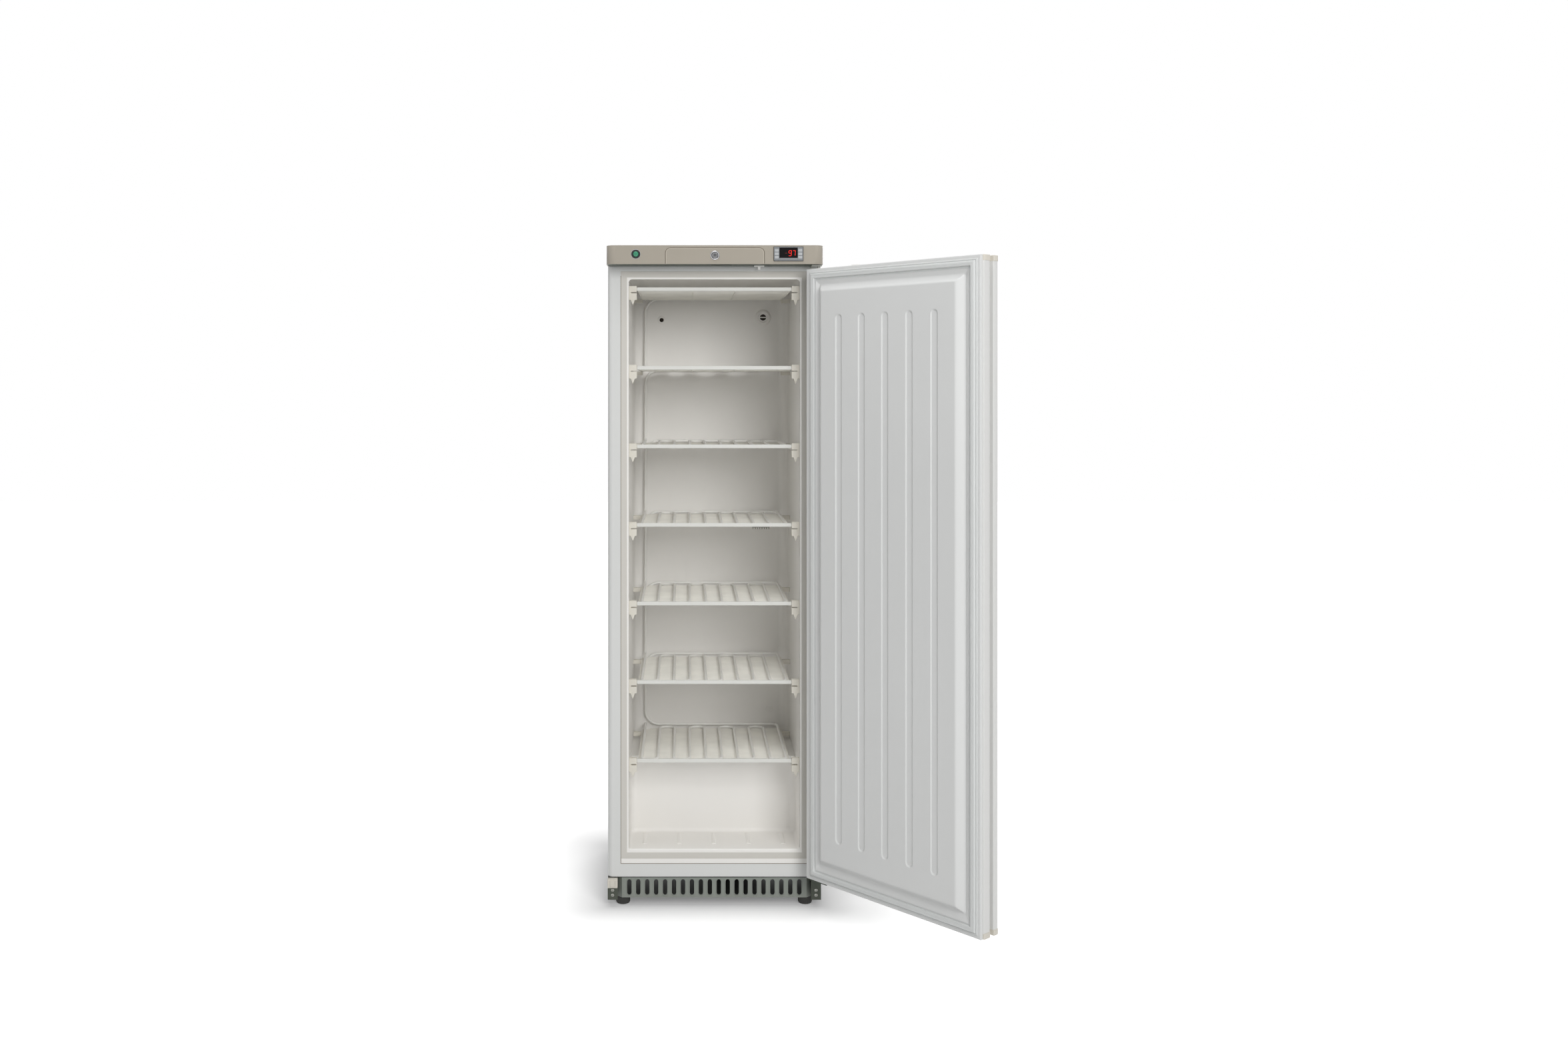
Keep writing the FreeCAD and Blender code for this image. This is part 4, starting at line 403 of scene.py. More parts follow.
def palette():
    """All finishes under the slot names of the record."""
    c = bpy.context.scene.freezer_colours
    return {
        "white_sheet": finish("Enamelled_sheet", c.sheet, 0.3, mottle=0.012, grain=420, bump=0.05, coat=0.25),
        "galvanised_sheet": finish("Zinc_coated_sheet", tone(186, 188, 188), 0.42, 0.75, 0.05, 9, 600, 0.04,
                                   spangle=0.16),
        "liner_plastic": finish("Cabinet_liner", c.liner, 0.33, mottle=0.022, patch=3.5, grain=160, bump=0.05),
        "door_liner_plastic": finish("Door_liner", c.door_liner, 0.3, mottle=0.018, patch=3, grain=180, bump=0.05),
        "insulation_foam": finish("Rigid_foam", tone(232, 222, 176), 0.9, mottle=0.08, grain=900, bump=0.5),
        "beige_plastic": finish("Header_plastic", c.header, 0.42, mottle=0.02, patch=8, grain=2200, bump=0.16),
        "cap_plastic": finish("End_cap_plastic", tone(216, 211, 200), 0.45, mottle=0.03, grain=1800, bump=0.1),
        "handle_plastic": finish("Handle_extrusion", tone(221, 221, 219), 0.36, mottle=0.015, grain=500,
                                 bump=0.06, stretch=(1, 1, 0.05)),
        "clip_plastic": finish("Clip_plastic", c.clips, 0.5, mottle=0.05, patch=30, grain=1500, bump=0.12),
        "grille_paint": finish("Grille_paint", c.grille, 0.45, mottle=0.05, patch=14, grain=1300, bump=0.1,
                               dust=0.2),
        "coil_aluminium": finish("Tube_coating", c.tube, 0.48, 0.1, 0.05, 22, 900, 0.12),
        "shelf_wire": finish("Wire_coating", c.wire, 0.5, 0.25, 0.09, 16, 900, 0.1),
        "rail_paint": finish("Rail_paint", c.rail, 0.34, mottle=0.02, patch=18, grain=900, bump=0.05, coat=0.2),
        "dark_steel": finish("Dark_passivated_steel", c.bracket, 0.42, 0.35, 0.16, 45, 1100, 0.12, wear=0.35,
                             dust=0.12),
        "black_paint": finish("Black_enamel", tone(34, 34, 35), 0.36, mottle=0.12, patch=20, grain=800, bump=0.1),
        "screw_steel": finish("Zinc_plated_steel", tone(168, 168, 162), 0.32, 0.9, 0.1, 80, 1500, 0.08),
        "chrome_trim": finish("Polished_chrome", tone(172, 172, 174), 0.14, 1.0, 0.03, 40, 900, 0.01),
        "gasket_rubber": finish("Gasket_vinyl", tone(216, 218, 217), 0.5, mottle=0.015, grain=1200, bump=0.03),
        "black_rubber": finish("Black_rubber", tone(36, 36, 36), 0.75, mottle=0.15, grain=1500, bump=0.2),
        "foot_plastic": finish("Foot_plastic", tone(44, 45, 43), 0.5, mottle=0.12, patch=30, grain=1500, bump=0.15,
                               dust=0.06),
        "black_plastic": finish("Black_plastic", tone(30, 30, 32), 0.28, mottle=0.1, patch=25, grain=1500,
                                bump=0.05),
        "button_green": finish("Green_lens", c.button, 0.12, mottle=0.12, patch=120, grain=400, bump=0.02, coat=0.6,
                               glow=0.12),
        "display_black": finish("Display_window", tone(12, 10, 11), 0.22, mottle=0.1, patch=50, grain=500,
                                bump=0.01, shine=0.15),
        "key_silver": finish("Silver_keys", tone(182, 184, 186), 0.3, 0.55, 0.04, 60, 1500, 0.05),
        "brass_line": finish("Copper_line", tone(186, 118, 84), 0.34, 0.95, 0.14, 35, 900, 0.08),
        "hinge_nylon": finish("Hinge_nylon", tone(206, 204, 196), 0.5, mottle=0.04, grain=1200, bump=0.08),
        "white_plastic": finish("White_plastic", tone(248, 247, 244), 0.36, mottle=0.02, grain=1200, bump=0.05),
    }


# ---------------------------------------------------------------- pieces

def evaporator_route():
    """One tube: out of the rear wall as the left-hand pass of the top shelf, to and fro across it, back along
    its rear edge and in a wide bend down the left rear corner to the next shelf. The lowest shelf is run from
    its rear edge to its left-hand pass. Returns the points and the radius of the bend at each."""
    passes, pitch = 10, 45.7
    u_turn, riser_bend, entry_bend = pitch / 2, 42, 10
    half = (passes - 1) / 2 * pitch
    near, far, wall_y = RAIL_Y + 7.8, SHELF_REAR, BACK_WALL - 12
    lowest, top = SHELF_HEIGHTS[0], SHELF_HEIGHTS[-1]
    route = []
    for height in SHELF_HEIGHTS[::-1]:
        shelf = [((i * pitch - half, y, height), u_turn)
                 for i in range(passes) for y in ((near, far) if i % 2 else (far, near))]
        shelf[-1] = ((half, wall_y, height), u_turn)
        shelf.append(((-half, wall_y, height), riser_bend))
        if height in (lowest, top):
            shelf[0] = ((-half, BACK_WALL, height), 0)
        else:
            shelf[0] = ((-half, wall_y - 10, height), entry_bend)
        route += shelf[::-1] if height == lowest else shelf
    return zip(*route)


def shelf_wire_mats(sizes):
    """Fine round wires side by side under the tubes of each shelf, each a straight six-sided rod; the last ones
    stop short on the left, where the tube comes down. Thicker wires carry the mat from front to rear."""
    radius, pitch = sizes.wire_radius * 1000, sizes.wire_pitch * 1000
    depth = np.arange(RAIL_Y + 8, SHELF_REAR, pitch)
    depth = depth + np.random.default_rng(4).normal(0, 0.12, len(depth))
    sides, tube_underside, reach, short_reach = 6, -4, 216.0, 192.0
    left = np.where(depth > SHELF_REAR - 16, -short_reach, -reach)
    angle = np.linspace(0, 2 * np.pi, sides, endpoint=False) + 0.3
    points = np.zeros((len(depth), 2, sides, 3))
    points[..., 0] = np.stack([left, np.full_like(left, reach)], 1)[:, :, None]
    points[..., 1] = depth[:, None, None] + radius * np.cos(angle)
    points[..., 2] = radius * np.sin(angle) + tube_underside - radius
    wires = joined(*[capped(rings) for rings in points])
    z = tube_underside - radius * 3
    bearers = [tube(np.array([[x, RAIL_Y + 3.5, z], [x, SHELF_REAR - short, z]]), 1.3, 8)
               for x, short in ((-214, 26), (214, 2), (-60, 2), (60, 2))]
    return repeated(joined(wires, *bearers), [(0, 0, height) for height in SHELF_HEIGHTS])


def door_liner_surface(sizes):
    """The inner face of the door on a grid of (x, z): flat at the rim, an eased slope up to the raised panel,
    measured by the distance from a rectangle, a ridge that falls from the gasket to that slope, five shallow
    grooves with round ends, and a rounded outer edge; the back follows it at the thickness of the sheet."""
    bevel, depth = sizes.panel_bevel * 1000, sizes.groove_depth * 1000
    panel_rise, panel_corner, ridge_rise, wall = 18, 9.0, 4.2, 4
    edge_roll, edge_width = 1.5, 3.2
    left, right, low, high = -292.0, 298.6, 106.0, 1789.0
    x0, x1, z0, z1 = -248.0, 248.0, low + 50, high - 44
    groove_low, groove_high, groove_end, groove_side = 236, 1658, 10.5, 2.6
    grooves = (np.arange(5) - 2) * 81.0
    slope = np.linspace(-3, bevel + 14, 22)
    bank = np.array([-12.5, -11.5, -10.5, -9.5, -8.5, -7, -3, 0, 3, 7, 8.5, 9.5, 10.5, 11.5, 12.5])
    rim = np.array([0, 0.6, 1.4, 2.4, 3.6, 5])
    lip = np.array([-260.0, -259, -256, -253, -250])
    x = np.unique(np.round(np.concatenate([
        left + rim, right - rim, x0 + slope, x1 - slope, (grooves[:, None] + bank).ravel(), lip, -lip,
        np.linspace(left, right, 25)]), 2))
    end = np.linspace(-13, 14, 19)
    z = np.unique(np.round(np.concatenate([
        low + rim, high - rim, z0 + slope, z1 - slope, groove_low + end, groove_high - end,
        [138, 139, 143, 147, 151, 1748, 1751, 1754, 1756, 1757], np.linspace(low, high, 44)]), 2))
    gx, gz = np.meshgrid(x, z, indexing="ij")
    side = np.minimum(gx - x0, x1 - gx)
    rise = np.minimum(gz - z0, z1 - gz)
    round_off = panel_corner - np.hypot(panel_corner - side, panel_corner - rise)
    inside = np.where((side < panel_corner) & (rise < panel_corner), round_off, np.minimum(side, rise))
    panel = panel_rise * eased(inside / bevel)
    outwards = np.maximum(-np.minimum(side, rise), 0)
    seal_x0, seal_x1, seal_z0, seal_z1 = np.array(GASKET_BOX) + GASKET_WIDTH * np.array([1, -1, 1, -1])
    inwards = np.minimum(np.minimum(gx - seal_x0, seal_x1 - gx), np.minimum(gz - seal_z0, seal_z1 - gz))
    fall = outwards / np.maximum(outwards + np.maximum(inwards, 0), 1)
    ridge = np.where(inwards > -0.5, ridge_rise * fall, 0)
    nearest = np.abs(gx[..., None] - grooves).min(-1)
    over = np.maximum(np.maximum(groove_low + groove_end - gz, gz - (groove_high - groove_end)), 0)
    groove = depth * eased((11.6 - np.hypot(nearest, over)) / groove_side)
    out = np.minimum(np.minimum(gx - left, right - gx), np.minimum(gz - low, high - gz))
    rolled = edge_roll * (1 - np.sqrt(np.clip(1 - (1 - np.clip(out / edge_width, 0, 1)) ** 2, 0, 1)))
    front = np.stack([gx, DOOR_INNER + panel + ridge - groove - rolled, gz], -1)
    back = np.stack([gx, DOOR_INNER - wall + panel, gz], -1)
    rows, columns = gx.shape
    count = rows * columns
    faces = quads(rows, columns) + [face[::-1] for face in quads(rows, columns, start=count)]
    i, j = np.arange(rows), np.arange(columns)
    border = np.concatenate([i * columns, (rows - 1) * columns + j[1:], i[::-1][1:] * columns + columns - 1,
                             j[::-1][1:-1]])
    following = np.roll(border, -1)
    faces += np.stack([border, border + count, following + count, following], -1).tolist()
    return np.concatenate([front.reshape(-1, 3), back.reshape(-1, 3)]), faces


def gasket_profile():
    """A magnetic gasket in section: a flat foot, two fine lips and the round-edged magnet bead."""
    rise = [(0, 0), (0, 1.6), (1, 2.6), (3.2, 2.9), (3.8, 1.9), (4.6, 1.9), (5.2, 3), (6, 5.6), (6.8, 6.9),
            (8.2, 7.4), (11.4, 7.4), (12, 6.8), (12.6, 7.4), (15.8, 7.4), (17.2, 6.9), (18, 5.6), (18.8, 3),
            (19.4, 1.9), (20.2, 1.9), (20.8, 2.9), (23, 2.6), (GASKET_WIDTH, 1.6), (GASKET_WIDTH, 0)]
    return [(inwards, DOOR_INNER + y) for inwards, y in rise]


def handle_plan(proud):
    """Plan of the handle strip: rounded front edge, lip, finger groove and wide rib."""
    out, back = -292.0 - proud, -272.0
    deep = out + 15
    corners = [(out, -340), (out, -318), (deep, -318), (deep, -304), (out, -304), (out, -279), (back, -279),
               (back, -340)]
    return rounded_loop(corners, [9, 3, 4.5, 4.5, 3, 3.5, 0.4, 0.4], 5)


def mouth_profile():
    """The cabinet's mouth in section: a flat lip, a quarter circle into the opening and a turned-in edge."""
    proud, inner, radius = FRONT - 0.5, 11.4, 8.4
    arc = np.linspace(0, np.pi / 2, 8)
    turn = np.stack([inner + radius * np.sin(arc), proud + radius * (1 - np.cos(arc))], -1)
    lip = [(-3.6, FRONT + 0.2), (-3.2, FRONT - 0.1), (-1.6, FRONT - 0.4), (0, proud)]
    return np.concatenate([lip, turn, [(19.8, FRONT + 14), (18.9, FRONT + 14.5), (18.9, FRONT + 4)]])


def condenser_route():
    """From the compressor's shell back to the plane of the condenser, up, and to and fro behind the cabinet."""
    x, outlet, low, pitch, half, bend = COMPRESSOR[0], 127, 350, 80, 220, 20
    route = [((x, 210, outlet), 0), ((x, CONDENSER_Y, outlet), bend), ((x, CONDENSER_Y, low), bend)]
    for i in range(16):
        ends = (half, -half) if i % 2 == 0 else (-half, half)
        route += [((end, CONDENSER_Y, low + pitch * i), bend) for end in (ends if i else ends[1:])]
    return zip(*route)


def condenser_wires(radius, count):
    """Upright wires on both sides of the condenser's tube, and the four holders that carry it."""
    wire_radius, reach, step = 0.8, 197.4, radius + 0.75
    wire = tube(np.array([[0, 0, 331.0], [0, 0, 1569.0]]), wire_radius, 6)
    places = [(x, CONDENSER_Y + side * step, 0) for side in (-1, 1) for x in np.linspace(-reach, reach, count)]
    holders = [slab((x, x + 14), (REAR, CONDENSER_Y + radius + 1.5), (z, z + 3.2))
               for x in (-198.4, 184.4) for z in (330, 1566.8)]
    return joined(repeated(wire, places), *holders)


def drier_and_lines():
    """The filter drier, turned from its outline, and the two lines that bend away from its ends."""
    x, y = -45, COMPRESSOR[1]
    rise = rounded([(x, y, 174), (x, y, 289), (x - 40, y, 289), (x - 40, y, 317)], [12] * 4)
    drop = rounded([(x, y, 86), (x, y, 56.5), (0, y, 56.5)], [12] * 3)
    drier = [(0, 0), (3.2, 0), (3.4, 3), (7, 7), (9, 10), (9, 80), (7, 83), (3.4, 87), (3.2, 90), (0, 90)]
    return joined(tube(rise, 3), tube(drop, 3), turned(drier, (x, y, 84.5), "up", 32))


def slot_rims():
    """A low round rim pressed up along the edge of each slot of the grille: a profile of (outwards, rise)
    carried along an upright closed line with round ends."""
    slots, pitch, half_width, low, high = 20, 25.2, 6.1, 32, 76.5
    turn = np.linspace(0, np.pi, 10)
    top = np.stack([np.cos(turn), np.sin(turn)], -1)
    away = np.concatenate([top, -top])
    centre = np.repeat([[0, high - half_width], [0, low + half_width]], len(turn), 0)
    line = centre + away * half_width
    profile = np.array([(0, 0), (0, 0.7), (0.7, 1.3), (1.7, 1.1), (2.6, 0.3), (2.9, 0)])
    rings = np.zeros((len(line), len(profile), 3))
    rings[..., 0] = line[:, None, 0] + away[:, None, 0] * profile[:, 0]
    rings[..., 1] = FRONT + 4.05 - profile[:, 1]
    rings[..., 2] = line[:, None, 1] + away[:, None, 1] * profile[:, 0]
    places = [((i - (slots - 1) / 2) * pitch, 0, 0) for i in range(slots)]
    return repeated(sheet_of(rings, True, True), places)


def screw_head():
    """A domed head on a grid of radius and angle, with a cross-shaped recess, closed by its flat back."""
    radius = np.concatenate([[0], np.linspace(0.3, 3.2, 14), np.linspace(3.5, 4.5, 5)])
    angle = np.linspace(0, 2 * np.pi, 56, endpoint=False)
    x, z = radius[:, None] * np.cos(angle), radius[:, None] * np.sin(angle)
    dome = 2.5 * np.sqrt(np.clip(1 - (radius / 4.9) ** 2, 0, 1))[:, None]
    arm = np.minimum(np.abs(x), np.abs(z))
    reach = np.maximum(np.abs(x), np.abs(z))
    recess = 1.5 * eased((0.75 - arm) / 0.35) * eased((2.9 - reach) / 0.5)
    top = np.stack([x, -(dome - recess), z], -1)
    back = np.stack([x[-1:], np.zeros_like(x[-1:]), z[-1:]], -1)
    return sheet_of(np.concatenate([top, back, np.zeros_like(back)]), False, True)


def foot_shape(ribs):
    """A foot on a grid of height and angle: its radius dips between fine ribs round the pad, over a bevelled
    base; a threaded stem with a wavy outline rises from it. Each row is (radius, height, share of the dip)."""
    rows = [(0, 0, 0), (15.5, 0, 0), (18.2, 1.2, 0), (19.4, 4, 0.4), (20, 5.5, 1), (20, 21, 1), (19.6, 23.4, 0.4),
            (18.6, 25.6, 0), (16.5, 27, 0), (9, 27, 0), (8.4, 30, 0), (5, 30.4, 0)]
    thread = [(5 - 0.55 * (k % 2), 30.8 + 1.1 * k, 0) for k in range(25)]
    radius, height, ribbed = np.array(rows + thread + [(0, 58, 0)], float).T
    angle = np.linspace(0, 2 * np.pi, ribs * 6, endpoint=False)
    dip = 0.9 * (0.5 + 0.5 * np.cos(angle * ribs))
    r = radius[:, None] - ribbed[:, None] * dip
    points = np.stack([r * np.cos(angle), r * np.sin(angle), np.broadcast_to(height[:, None], r.shape)], -1)
    return sheet_of(points, False, True)


def zone_line(edge, radius):
    """A round bead up both sides and along the top of the header's raised zone, edge away from its middle; it
    carries the painted shadow line and the painted highlight at the zone's step.
    """
    y, foot, top = ZONE_FRONT + 0.6, 1804, 1848 - (ZONE_EDGE - edge)
    line = [(-edge, y, foot), (-edge, y, top), (edge, y, top), (edge, y, foot)]
    return tube(rounded(line, [edge - 122.5] * 4, 8), radius, 8)


def controller_frame():
    """The controller's front frame: mitred rings over its rounded outer edge and in to the window."""
    face, back = HEADER_FRONT - 3.7, HEADER_FRONT - 2.9
    outer = mitred([(0, back), (0, face + 0.25), (0.5, face), (1.5, face)], (163.2, 242.8, 1812.2, 1849.8))
    window = mitred([(0, face), (0, back)], (177.6, 228.4, 1819.6, 1848.4))
    return sheet_of(np.concatenate([outer, window]), True, True)


def digit_bars(figure, x, z=1832.7, size=14.4, width=7.2, bar=1.0):
    """The lit bars of one figure, each a flat six-cornered bar with pointed ends, leaning to the right."""
    lit = {"9": "abcdfg", "7": "abc", "-": "g"}[figure]
    spots = {"a": (0, size / 2, 0), "g": (0, 0, 0), "d": (0, -size / 2, 0), "f": (-width / 2, size / 4, 1),
             "b": (width / 2, size / 4, 1), "c": (width / 2, -size / 4, 1)}
    bars = []
    for name in lit:
        across, up, standing = spots[name]
        reach, half = (size / 4 if standing else width / 2) - 0.35, bar / 2
        line = np.array([(-reach, 0), (half - reach, half), (reach - half, half), (reach, 0),
                         (reach - half, -half), (half - reach, -half)])
        line = (line[:, ::-1] if standing else line) + (0, up)
        line[:, 0] += x + across + line[:, 1] * 0.09
        line[:, 1] += z
        bars.append(carried(line, (HEADER_FRONT - 3.0, HEADER_FRONT - 3.12)))
    return joined(*bars)


def comb(height):
    """A comb of eight short teeth behind a shelf's front rail, hung from a thin spine."""
    tooth = slab((-1.1, 1.1), (-2.5, 2.5), (-12.5, -5.2))
    spine = slab((108, 157), (RAIL_Y + 3.6, RAIL_Y + 6.6), (height - 8, height - 5.6))
    return joined(repeated(tooth, [(x, RAIL_Y + 5, height) for x in np.linspace(110, 155, 8)]), spine)


# ---------------------------------------------------------------- operators

class FREEZER_OT_finishes(bpy.types.Operator):
    """Gives every CAD node its finish, the base tray a dark one of painted shade, and rounds the edges of folded
    and moulded ones
    """
    bl_idname = "freezer.finishes"
    bl_label = "Finishes and edges"

    def execute(self, context):
        looks = palette()
        slots = {row["node"]: row["material_slot"] for row in frame["record"]["subparts"]}
        # The base tray seen through the grille's slots is made dark: painted shade in the machine room.
        tray_painted_shade = finish("Tray_painted_shade", tone(48, 51, 48), 0.55, 0.3, 0.12, 20, 900, 0.1)
        for node, obj in frame["nodes"].items():
            if not obj.material_slots:
                raise RuntimeError(node + " has no material slot")
            for place in obj.material_slots:
                place.material = tray_painted_shade if node == "base_tray" else looks[slots[node]]
        width = context.scene.freezer_sizes.edge_round
        shares = {"shelf_rails": 1.6, "shelf_clips": 0.8, "rear_shelf_clips": 0.8, "hinge_cover_left": 1.2,
                  "spare_bracket_left": 0.7, "hinge_bracket_lower": 0.7, "controller_case": 0.6,
                  "header_fascia": 1.6, "terminal_cover": 2.5, "door_hinge_plate": 0.6, "switch_striker": 0.8,
                  "top_cover": 1.2, "machine_room_panel": 0.6, "door_switch_base": 0.5}
        shares.update({f"controller_key_{i}": 0.5 for i in range(1, 7)})
        for node, share in shares.items():
            softened(frame["nodes"][node], width * share, weld=True)
        return {"FINISHED"}


class FREEZER_OT_shelves(bpy.types.Operator):
    """Makes the evaporator tube and the wire mats that form the shelves"""
    bl_idname = "freezer.shelves"
    bl_label = "Evaporator shelves"

    def execute(self, context):
        sizes = context.scene.freezer_sizes
        route = rounded(*evaporator_route(), steps=7)
        made("evaporator_tube", tube(route, sizes.tube_radius * 1000), "cabinet", "coil_aluminium",
             ["evaporator_coil"])
        made("shelf_wire_mats", shelf_wire_mats(sizes), "cabinet", "shelf_wire", ["shelf_wires"])
        return {"FINISHED"}


class FREEZER_OT_condenser(bpy.types.Operator):
    """Makes the condenser on the back, the compressor and its lines"""
    bl_idname = "freezer.condenser"
    bl_label = "Condenser and compressor"

    def execute(self, context):
        sizes = context.scene.freezer_sizes
        radius = sizes.rear_tube_radius * 1000
        route = rounded(*condenser_route(), steps=7)
        made("condenser_tube", tube(route, radius), "cabinet", "black_paint", ["condenser_coil"])
        made("condenser_wire_grid", condenser_wires(radius, sizes.rear_wire_count), "cabinet", "black_paint",
             ["condenser_wires"])
        x, y = COMPRESSOR
        shell = [(0, 0), (52, 0), (60, 2), (68, 7), (74, 15), (77.6, 27), (77.6, 96), (79, 97), (79, 103),
                 (77.8, 104), (77.4, 124), (74.6, 140), (68, 153), (57, 162), (43, 167.6), (24, 170), (0, 170)]
        plate = slab((-47, 167), (70, 194), (38, 42))
        made("compressor_body", joined(turned(shell, (x, y, 42), "up", 64), plate), "cabinet", "black_paint",
             ["compressor"], edge=0.001)
        ring = [(0, 0), (11.2, 0), (12, 0.8), (12, 4), (9.4, 5), (9.4, 7), (12, 8), (12, 11.2), (11.2, 12), (0, 12)]
        spots = [(x + across, y + along, 30) for across in (-95, 95) for along in (-50, 50)]
        made("compressor_feet", repeated(turned(ring, (0, 0, 0), "up", 32), spots), "cabinet", "black_rubber",
             ["compressor_grommets"])
        made("drier_and_lines", drier_and_lines(), "cabinet", "brass_line", ["refrigerant_lines"])
        return {"FINISHED"}


class FREEZER_OT_door(bpy.types.Operator):
    """Makes the door's moulded liner, its gasket, the handle strip and the end caps"""
    bl_idname = "freezer.door"
    bl_label = "Door liner, gasket and handle"

    def execute(self, context):
        made("door_liner_sheet", swung(door_liner_surface(context.scene.freezer_sizes)), "door",
             "door_liner_plastic", ["door_liner"], sharp=50)
        made("door_seal", swung(square_loop(gasket_profile(), GASKET_BOX)), "door", "gasket_rubber",
             ["door_gasket"])
        made("handle_profile", swung(upright(handle_plan(3), 120, 1775)), "door", "handle_plastic",
             ["handle_strip"])
        caps = joined(*[upright(handle_plan(4.5), low, low + 14) for low in (106, 1775)])
        made("handle_caps", swung(caps), "door", "cap_plastic", ["handle_end_caps"], edge=0.0012)
        return {"FINISHED"}


class FREEZER_OT_mouth(bpy.types.Operator):
    """Makes the rounded moulding round the cabinet's mouth and the fine seams beside it"""
    bl_idname = "freezer.mouth"
    bl_label = "Mouth moulding and seams"

    def execute(self, context):
        made("mouth_moulding", square_loop(mouth_profile(), (-260, 260, 139, 1786)), "cabinet", "liner_plastic",
             look=finish("Mouth_frame", tone(209, 206, 199), 0.36, mottle=0.02, patch=4, grain=200, bump=0.05))
        half, low, high = 0.8, FRONT + 0.2, FRONT - 0.25
        line = [(-half, low), (-half, high), (half, high), (half, low)]
        made("seam_line", square_loop(line, (-263, 263, 122, 1776)), "cabinet", "dark_steel",
             look=finish("Seam_sealant", tone(140, 131, 116), 0.7, mottle=0.1, grain=900, bump=0.2))
        return {"FINISHED"}


class FREEZER_OT_header(bpy.types.Operator):
    """Makes the lamp switch, the lock collar with a ring of painted shade, the controller's face and digits, the
    zone's painted shadow line and painted highlight, and a sheet of painted shade in the keyway
    """
    bl_idname = "freezer.header"
    bl_label = "Header fittings"

    def execute(self, context):
        self.lamp_switch()
        self.lock_front()
        self.controller(context.scene.freezer_colours.digits)
        # A dark bead of painted shadow at the zone's step, and inside it a light bead of painted highlight.
        made("zone_painted_shadow_line", zone_line(ZONE_EDGE, 0.95), "cabinet", "beige_plastic",
             look=finish("Zone_painted_shadow", tone(112, 104, 92), 0.6, mottle=0.05, grain=1500, bump=0.1))
        made("zone_highlight", zone_line(ZONE_EDGE - 2.1, 0.85), "cabinet", "beige_plastic",
             look=finish("Zone_painted_highlight", tone(192, 185, 172), 0.4, mottle=0.03, grain=1500, bump=0.1))
        self.lock_core()
        return {"FINISHED"}

    def lamp_switch(self):
        spot = (-218.5, HEADER_FRONT, 1830.5)
        rim = [(8.7, -25), (8.7, -0.2), (7.8, 0.2), (7.8, 1), (8.8, 1.7), (10.4, 2), (11.6, 1.9), (12.4, 1),
               (12.5, -0.1), (10.5, -0.2), (10.5, -25)]
        made("switch_rim", turned(rim, spot, closed=True), "cabinet", "black_plastic", ["switch_bezel"])
        trim = [(12.3, -0.2), (12.4, 0.7), (12.9, 0.8), (13.3, 0.5), (13.4, -0.2)]
        made("switch_trim", turned(trim, spot, closed=True), "cabinet", "key_silver")
        lens = [(0, 3.9), (2.6, 3.8), (4.8, 3.4), (6.4, 2.6), (7.2, 1.6), (7.5, 0.4), (8.4, -0.4), (8.4, -10.9),
                (0, -11)]
        made("switch_lens", turned(lens, spot), "lamp_switch", "button_green", ["switch_button"])

    def lock_front(self):
        axis = (0, ZONE_FRONT, LOCK_HEIGHT)
        collar = [(6.1, -28), (6.1, 1.6), (6.6, 2.4), (7.6, 2.6), (8.4, 1.7), (9.2, 1.6), (10, 2.5), (11.2, 2.95),
                  (12.4, 2.3), (13, 0.8), (13, 0), (9, -0.1), (9, -28)]
        made("lock_collar", turned(collar, axis, segments=64, closed=True), "cabinet", "chrome_trim",
             ["lock_housing"])
        # A black ring in the collar's groove: painted shade.
        groove = [(8.2, 1.66), (8.3, 1.95), (9.3, 1.9), (9.4, 1.6), (8.8, 1.4)]
        made("lock_shadow_ring", turned(groove, axis, segments=64, closed=True), "cabinet", "black_plastic")

    def controller(self, digits):
        made("controller_face", controller_frame(), "cabinet", "key_silver",
             look=finish("Controller_face", tone(132, 135, 137), 0.35, 0.4, 0.04, grain=1500, bump=0.06))
        lit = finish("Lit_segments", digits, 0.4, mottle=0.05, glow=1.1)
        made("display_digits", joined(digit_bars("9", 207.3), digit_bars("7", 217.9)), "cabinet", "display_black",
             look=lit)
        dim = finish("Dim_segments", tone(96, 22, 20), 0.4, mottle=0.05, glow=0.4)
        made("display_sign", digit_bars("-", 196.5), "cabinet", "display_black", look=dim)

    def lock_core(self):
        core = [(0, 0.55), (4.6, 0.5), (5.5, 0.1), (5.7, -0.3), (0, -0.4)]
        made("lock_core_face", turned(core, (0, CORE_FRONT, LOCK_HEIGHT)), "lock_barrel_body", "chrome_trim",
             look=finish("Brushed_core", tone(122, 122, 124), 0.3, 1.0, 0.08, grain=900, bump=0.06))
        # A thin black sheet over the keyway: painted shade in the slot.
        half, reach = 0.9, 3.4
        slot = rounded_loop([(-half, LOCK_HEIGHT - reach), (half, LOCK_HEIGHT - reach),
                             (half, LOCK_HEIGHT + reach), (-half, LOCK_HEIGHT + reach)], [0.8] * 4)
        made("keyway_painted_shade", carried(slot, (CORE_FRONT - 0.5, CORE_FRONT - 0.65)), "lock_barrel_body", "black_plastic")


class FREEZER_OT_foot(bpy.types.Operator):
    """Makes the ribbed feet, the pressed rims of the grille and the bracket screws"""
    bl_idname = "freezer.foot"
    bl_label = "Feet, grille and screws"

    def execute(self, context):
        points, faces = foot_shape(context.scene.freezer_sizes.foot_ribs)
        places = [(x, y, 0.0) for y in (FRONT + 36, REAR - 40) for x in (-258, 258)]
        for i, place in enumerate(places, start=1):
            made(f"ribbed_foot_{i}", (points + np.array(place), faces), f"foot_{i}", "foot_plastic",
                 [f"levelling_foot_{i}"])
        made("grille_slot_rims", slot_rims(), "cabinet", "grille_paint")
        heads = repeated(screw_head(), [(x, FRONT - 4, z) for x in (-286, 286) for z in (34, 48)])
        made("bracket_screw_heads", heads, "cabinet", "screw_steel", ["bracket_screws"])
        return {"FINISHED"}


